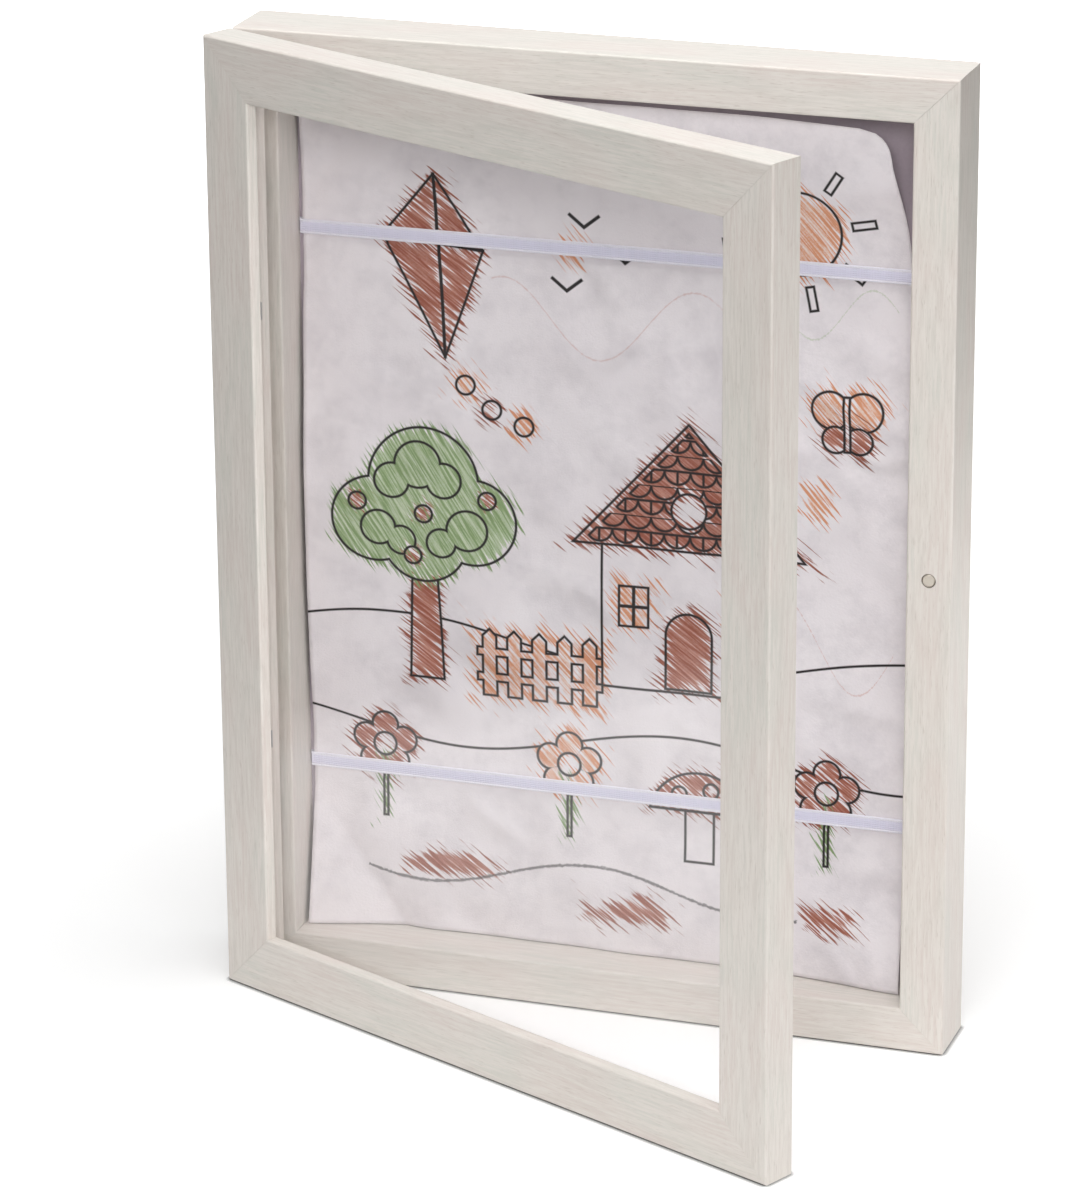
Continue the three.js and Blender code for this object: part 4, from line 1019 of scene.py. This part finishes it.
def nickel_plate(name, centre):
    """Nickel plating with rings round a centre, darkened towards its rim with painted shade."""
    material, tree = new_material(name)
    place = add_node(tree, "ShaderNodeTexCoord").outputs["Object"]
    far = add_node(tree, "ShaderNodeVectorMath", {0: place, 1: centre}, operation="DISTANCE")
    rings = add_node(tree, "ShaderNodeMath", {
        0: far.outputs["Value"], 1: 2 * math.pi / TURNING_RING,
    }, operation="MULTIPLY")
    ring = add_node(tree, "ShaderNodeMath", {0: rings}, operation="SINE")
    # Painted shade: the face's colour darkens towards the magnet's rim.
    tone = add_node(tree, "ShaderNodeMapRange", {
        "Value": far.outputs["Value"], "From Min": RIM_SHADE_FROM, "From Max": RIM_SHADE_TO,
    })
    colour = add_node(tree, "ShaderNodeMix", {
        "Factor": tone, 6: linear(NICKEL), 7: linear(NICKEL_RIM_SHADE),
    }, data_type="RGBA")
    relief = add_node(tree, "ShaderNodeBump", {
        "Height": ring, "Strength": 0.1, "Distance": TURNING_RELIEF,
    })
    face = add_node(tree, "ShaderNodeBsdfPrincipled", {
        "Base Color": colour.outputs[2], "Metallic": 1, "Roughness": 0.38,
        "Normal": relief,
    })
    add_node(tree, "ShaderNodeOutputMaterial", {"Surface": face})
    return material


box_magnet_face = MAGNET_PLACE + Vector((0, CASE_FRONT, 0)) * MM
door_magnet_face = door_turn @ (MAGNET_PLACE + Vector((0, DOOR_BACK, 0)) * MM)
give_finish(["box_magnet"], nickel_plate("nickel_plate_box", box_magnet_face))
give_finish(["door_magnet"], nickel_plate("nickel_plate_door", door_magnet_face))


# The door's rails are the same wrapped moulding as the case's, a little wider in front. They
# are finished in the same foil, with its grain along each rail of the door as it stands open.
door_along = (math.cos(DOOR_REST_ANGLE), math.sin(DOOR_REST_ANGLE), 0)
door_level_foil = whitewashed_foil("whitewashed_foil_door_level", door_along)
give_finish(["door_left_stile", "door_right_stile"], upright_foil)
give_finish(["door_top_rail", "door_bottom_rail"], door_level_foil)


# The pane is clear cast acrylic, 1.5 mm thick, with cut and polished edges. Lamps shine
# straight through it, and it mirrors a little of the white room.
ACRYLIC_IOR = 1.49
FACES_THAT_MIRROR = 1.9
PANE_TINT = (0.99, 0.99, 0.99, 1)

pane_material, tree = new_material("clear_cast_acrylic")
pane_clear = add_node(tree, "ShaderNodeBsdfTransparent", {"Color": PANE_TINT})
pane_mirror = add_node(tree, "ShaderNodeBsdfGlossy", {"Color": (1, 1, 1, 1), "Roughness": 0.01})
outer_face = add_node(tree, "ShaderNodeMath", {
    0: 1.0, 1: add_node(tree, "ShaderNodeNewGeometry").outputs["Backfacing"],
}, operation="SUBTRACT")
mirrored = add_node(tree, "ShaderNodeMath", {
    0: add_node(tree, "ShaderNodeFresnel", {"IOR": ACRYLIC_IOR}),
    1: outer_face,
}, operation="MULTIPLY")
both_faces = add_node(tree, "ShaderNodeMath", {
    0: mirrored, 1: FACES_THAT_MIRROR,
}, operation="MULTIPLY")
pane_both = add_node(tree, "ShaderNodeMixShader", {0: both_faces, 1: pane_clear, 2: pane_mirror})
add_node(tree, "ShaderNodeOutputMaterial", {"Surface": pane_both})
give_finish(["clear_pane"], pane_material)


# Two butt hinges join door and case on the left. Their leaves are let in flush, the knuckles
# turn on a headed pin, and crosshead screws hold each leaf.
hinge_parts = [n for n in node if n.startswith("hinge") and "screw" not in n]
give_finish(hinge_parts, upright_zinc)

SCREW_SIZES = {
    "Head radius": 2 * MM, "Head depth": 1.1 * MM, "Shank radius": 0.95 * MM,
    "Shank length": 7 * MM, "Recess length": 2.3 * MM, "Recess width": 0.56 * MM,
    "Recess depth": 1.5 * MM,
}
HINGE_HEIGHTS = (60, 272)
SCREW_PITCH = 24
SCREW_FROM_MIDDLE = 117.5
SHANK_TIP_RADIUS = 0.0002
BOX_LEAF_FACE, DOOR_LEAF_FACE = -12.7, -12.8

screw_tree, given = shape_tree("crosshead_screws", {
    **{size: "Float" for size in SCREW_SIZES}, "Turn": "Vector",
})
head = add_node(screw_tree, "GeometryNodeMeshCone", {
    "Vertices": 32, "Radius Top": given["Shank radius"], "Radius Bottom": given["Head radius"],
    "Depth": given["Head depth"],
})
upright_arm = add_node(screw_tree, "ShaderNodeCombineXYZ", {
    "X": given["Recess width"], "Y": given["Recess length"], "Z": given["Recess depth"],
})
level_arm = add_node(screw_tree, "ShaderNodeCombineXYZ", {
    "X": given["Recess length"], "Y": given["Recess width"], "Z": given["Recess depth"],
})
recess = add_node(screw_tree, "GeometryNodeMeshBoolean", {
    "Mesh 1": head,
}, operation="DIFFERENCE", solver="EXACT")
for arm in (upright_arm, level_arm):
    cutter = add_node(screw_tree, "GeometryNodeMeshCube", {"Size": arm})
    screw_tree.links.new(cutter.outputs["Mesh"], recess.inputs["Mesh 2"])
shank = add_node(screw_tree, "GeometryNodeMeshCone", {
    "Vertices": 20, "Radius Top": SHANK_TIP_RADIUS, "Radius Bottom": given["Shank radius"],
    "Depth": given["Shank length"],
})
shank_start = add_node(screw_tree, "ShaderNodeCombineXYZ", {"Z": given["Head depth"]})
shank_placed = add_node(screw_tree, "GeometryNodeTransform", {
    "Geometry": shank, "Translation": shank_start,
})
screw = add_node(screw_tree, "GeometryNodeJoinGeometry")
screw_tree.links.new(recess.outputs["Mesh"], screw.inputs[0])
screw_tree.links.new(shank_placed.outputs[0], screw.inputs[0])
turn = add_node(screw_tree, "FunctionNodeEulerToRotation", {"Euler": given["Turn"]})
screws = add_node(screw_tree, "GeometryNodeInstanceOnPoints", {
    "Points": given["Geometry"], "Instance": screw, "Rotation": turn,
})
end_tree(screw_tree, screws, given["Material"])

for side, body, face_depth, turn in (
    ("box", BOX_BODY, BOX_LEAF_FACE, (math.radians(-90), 0, 0)),
    ("door", DOOR_BODY, DOOR_LEAF_FACE, (math.radians(90), 0, DOOR_REST_ANGLE)),
):
    places = [
        Vector((-SCREW_FROM_MIDDLE, face_depth, hinge + end * SCREW_PITCH / 2)) * MM
        for hinge in HINGE_HEIGHTS for end in (-1, 1)
    ]
    if body == DOOR_BODY:
        places = [door_turn @ place for place in places]
    point_mesh = bpy.data.meshes.new("screw_places")
    point_mesh.from_pydata(places, [], [])
    screws_made = grown(f"hinge_screws_{side}", point_mesh, screw_tree, {
        **SCREW_SIZES, "Turn": turn, "Material": upright_zinc,
    })
    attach(screws_made, body)
    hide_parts(*[n for n in node if n.startswith("hinge") and f"{side}_screw" in n])


# Behind, two sawtooth hangers are nailed on, one for each way up, and two soft white rubber
# stops keep the foot of the case off the wall. The nails are plated like the hangers.
RUBBER = "#e4e2dc"

give_finish([n for n in node if n.startswith("hanger") and "nail" in n], upright_zinc)
rubber_material, tree = new_material("soft_white_rubber")
rubber_face = add_node(tree, "ShaderNodeBsdfPrincipled", {
    "Base Color": linear(RUBBER), "Roughness": 0.7, "Subsurface Weight": 0.15,
    "Subsurface Radius": (1.5 * MM, 1.2 * MM, 1 * MM),
})
add_node(tree, "ShaderNodeOutputMaterial", {"Surface": rubber_face})
give_finish(["wall_stop_left", "wall_stop_right"], rubber_material)
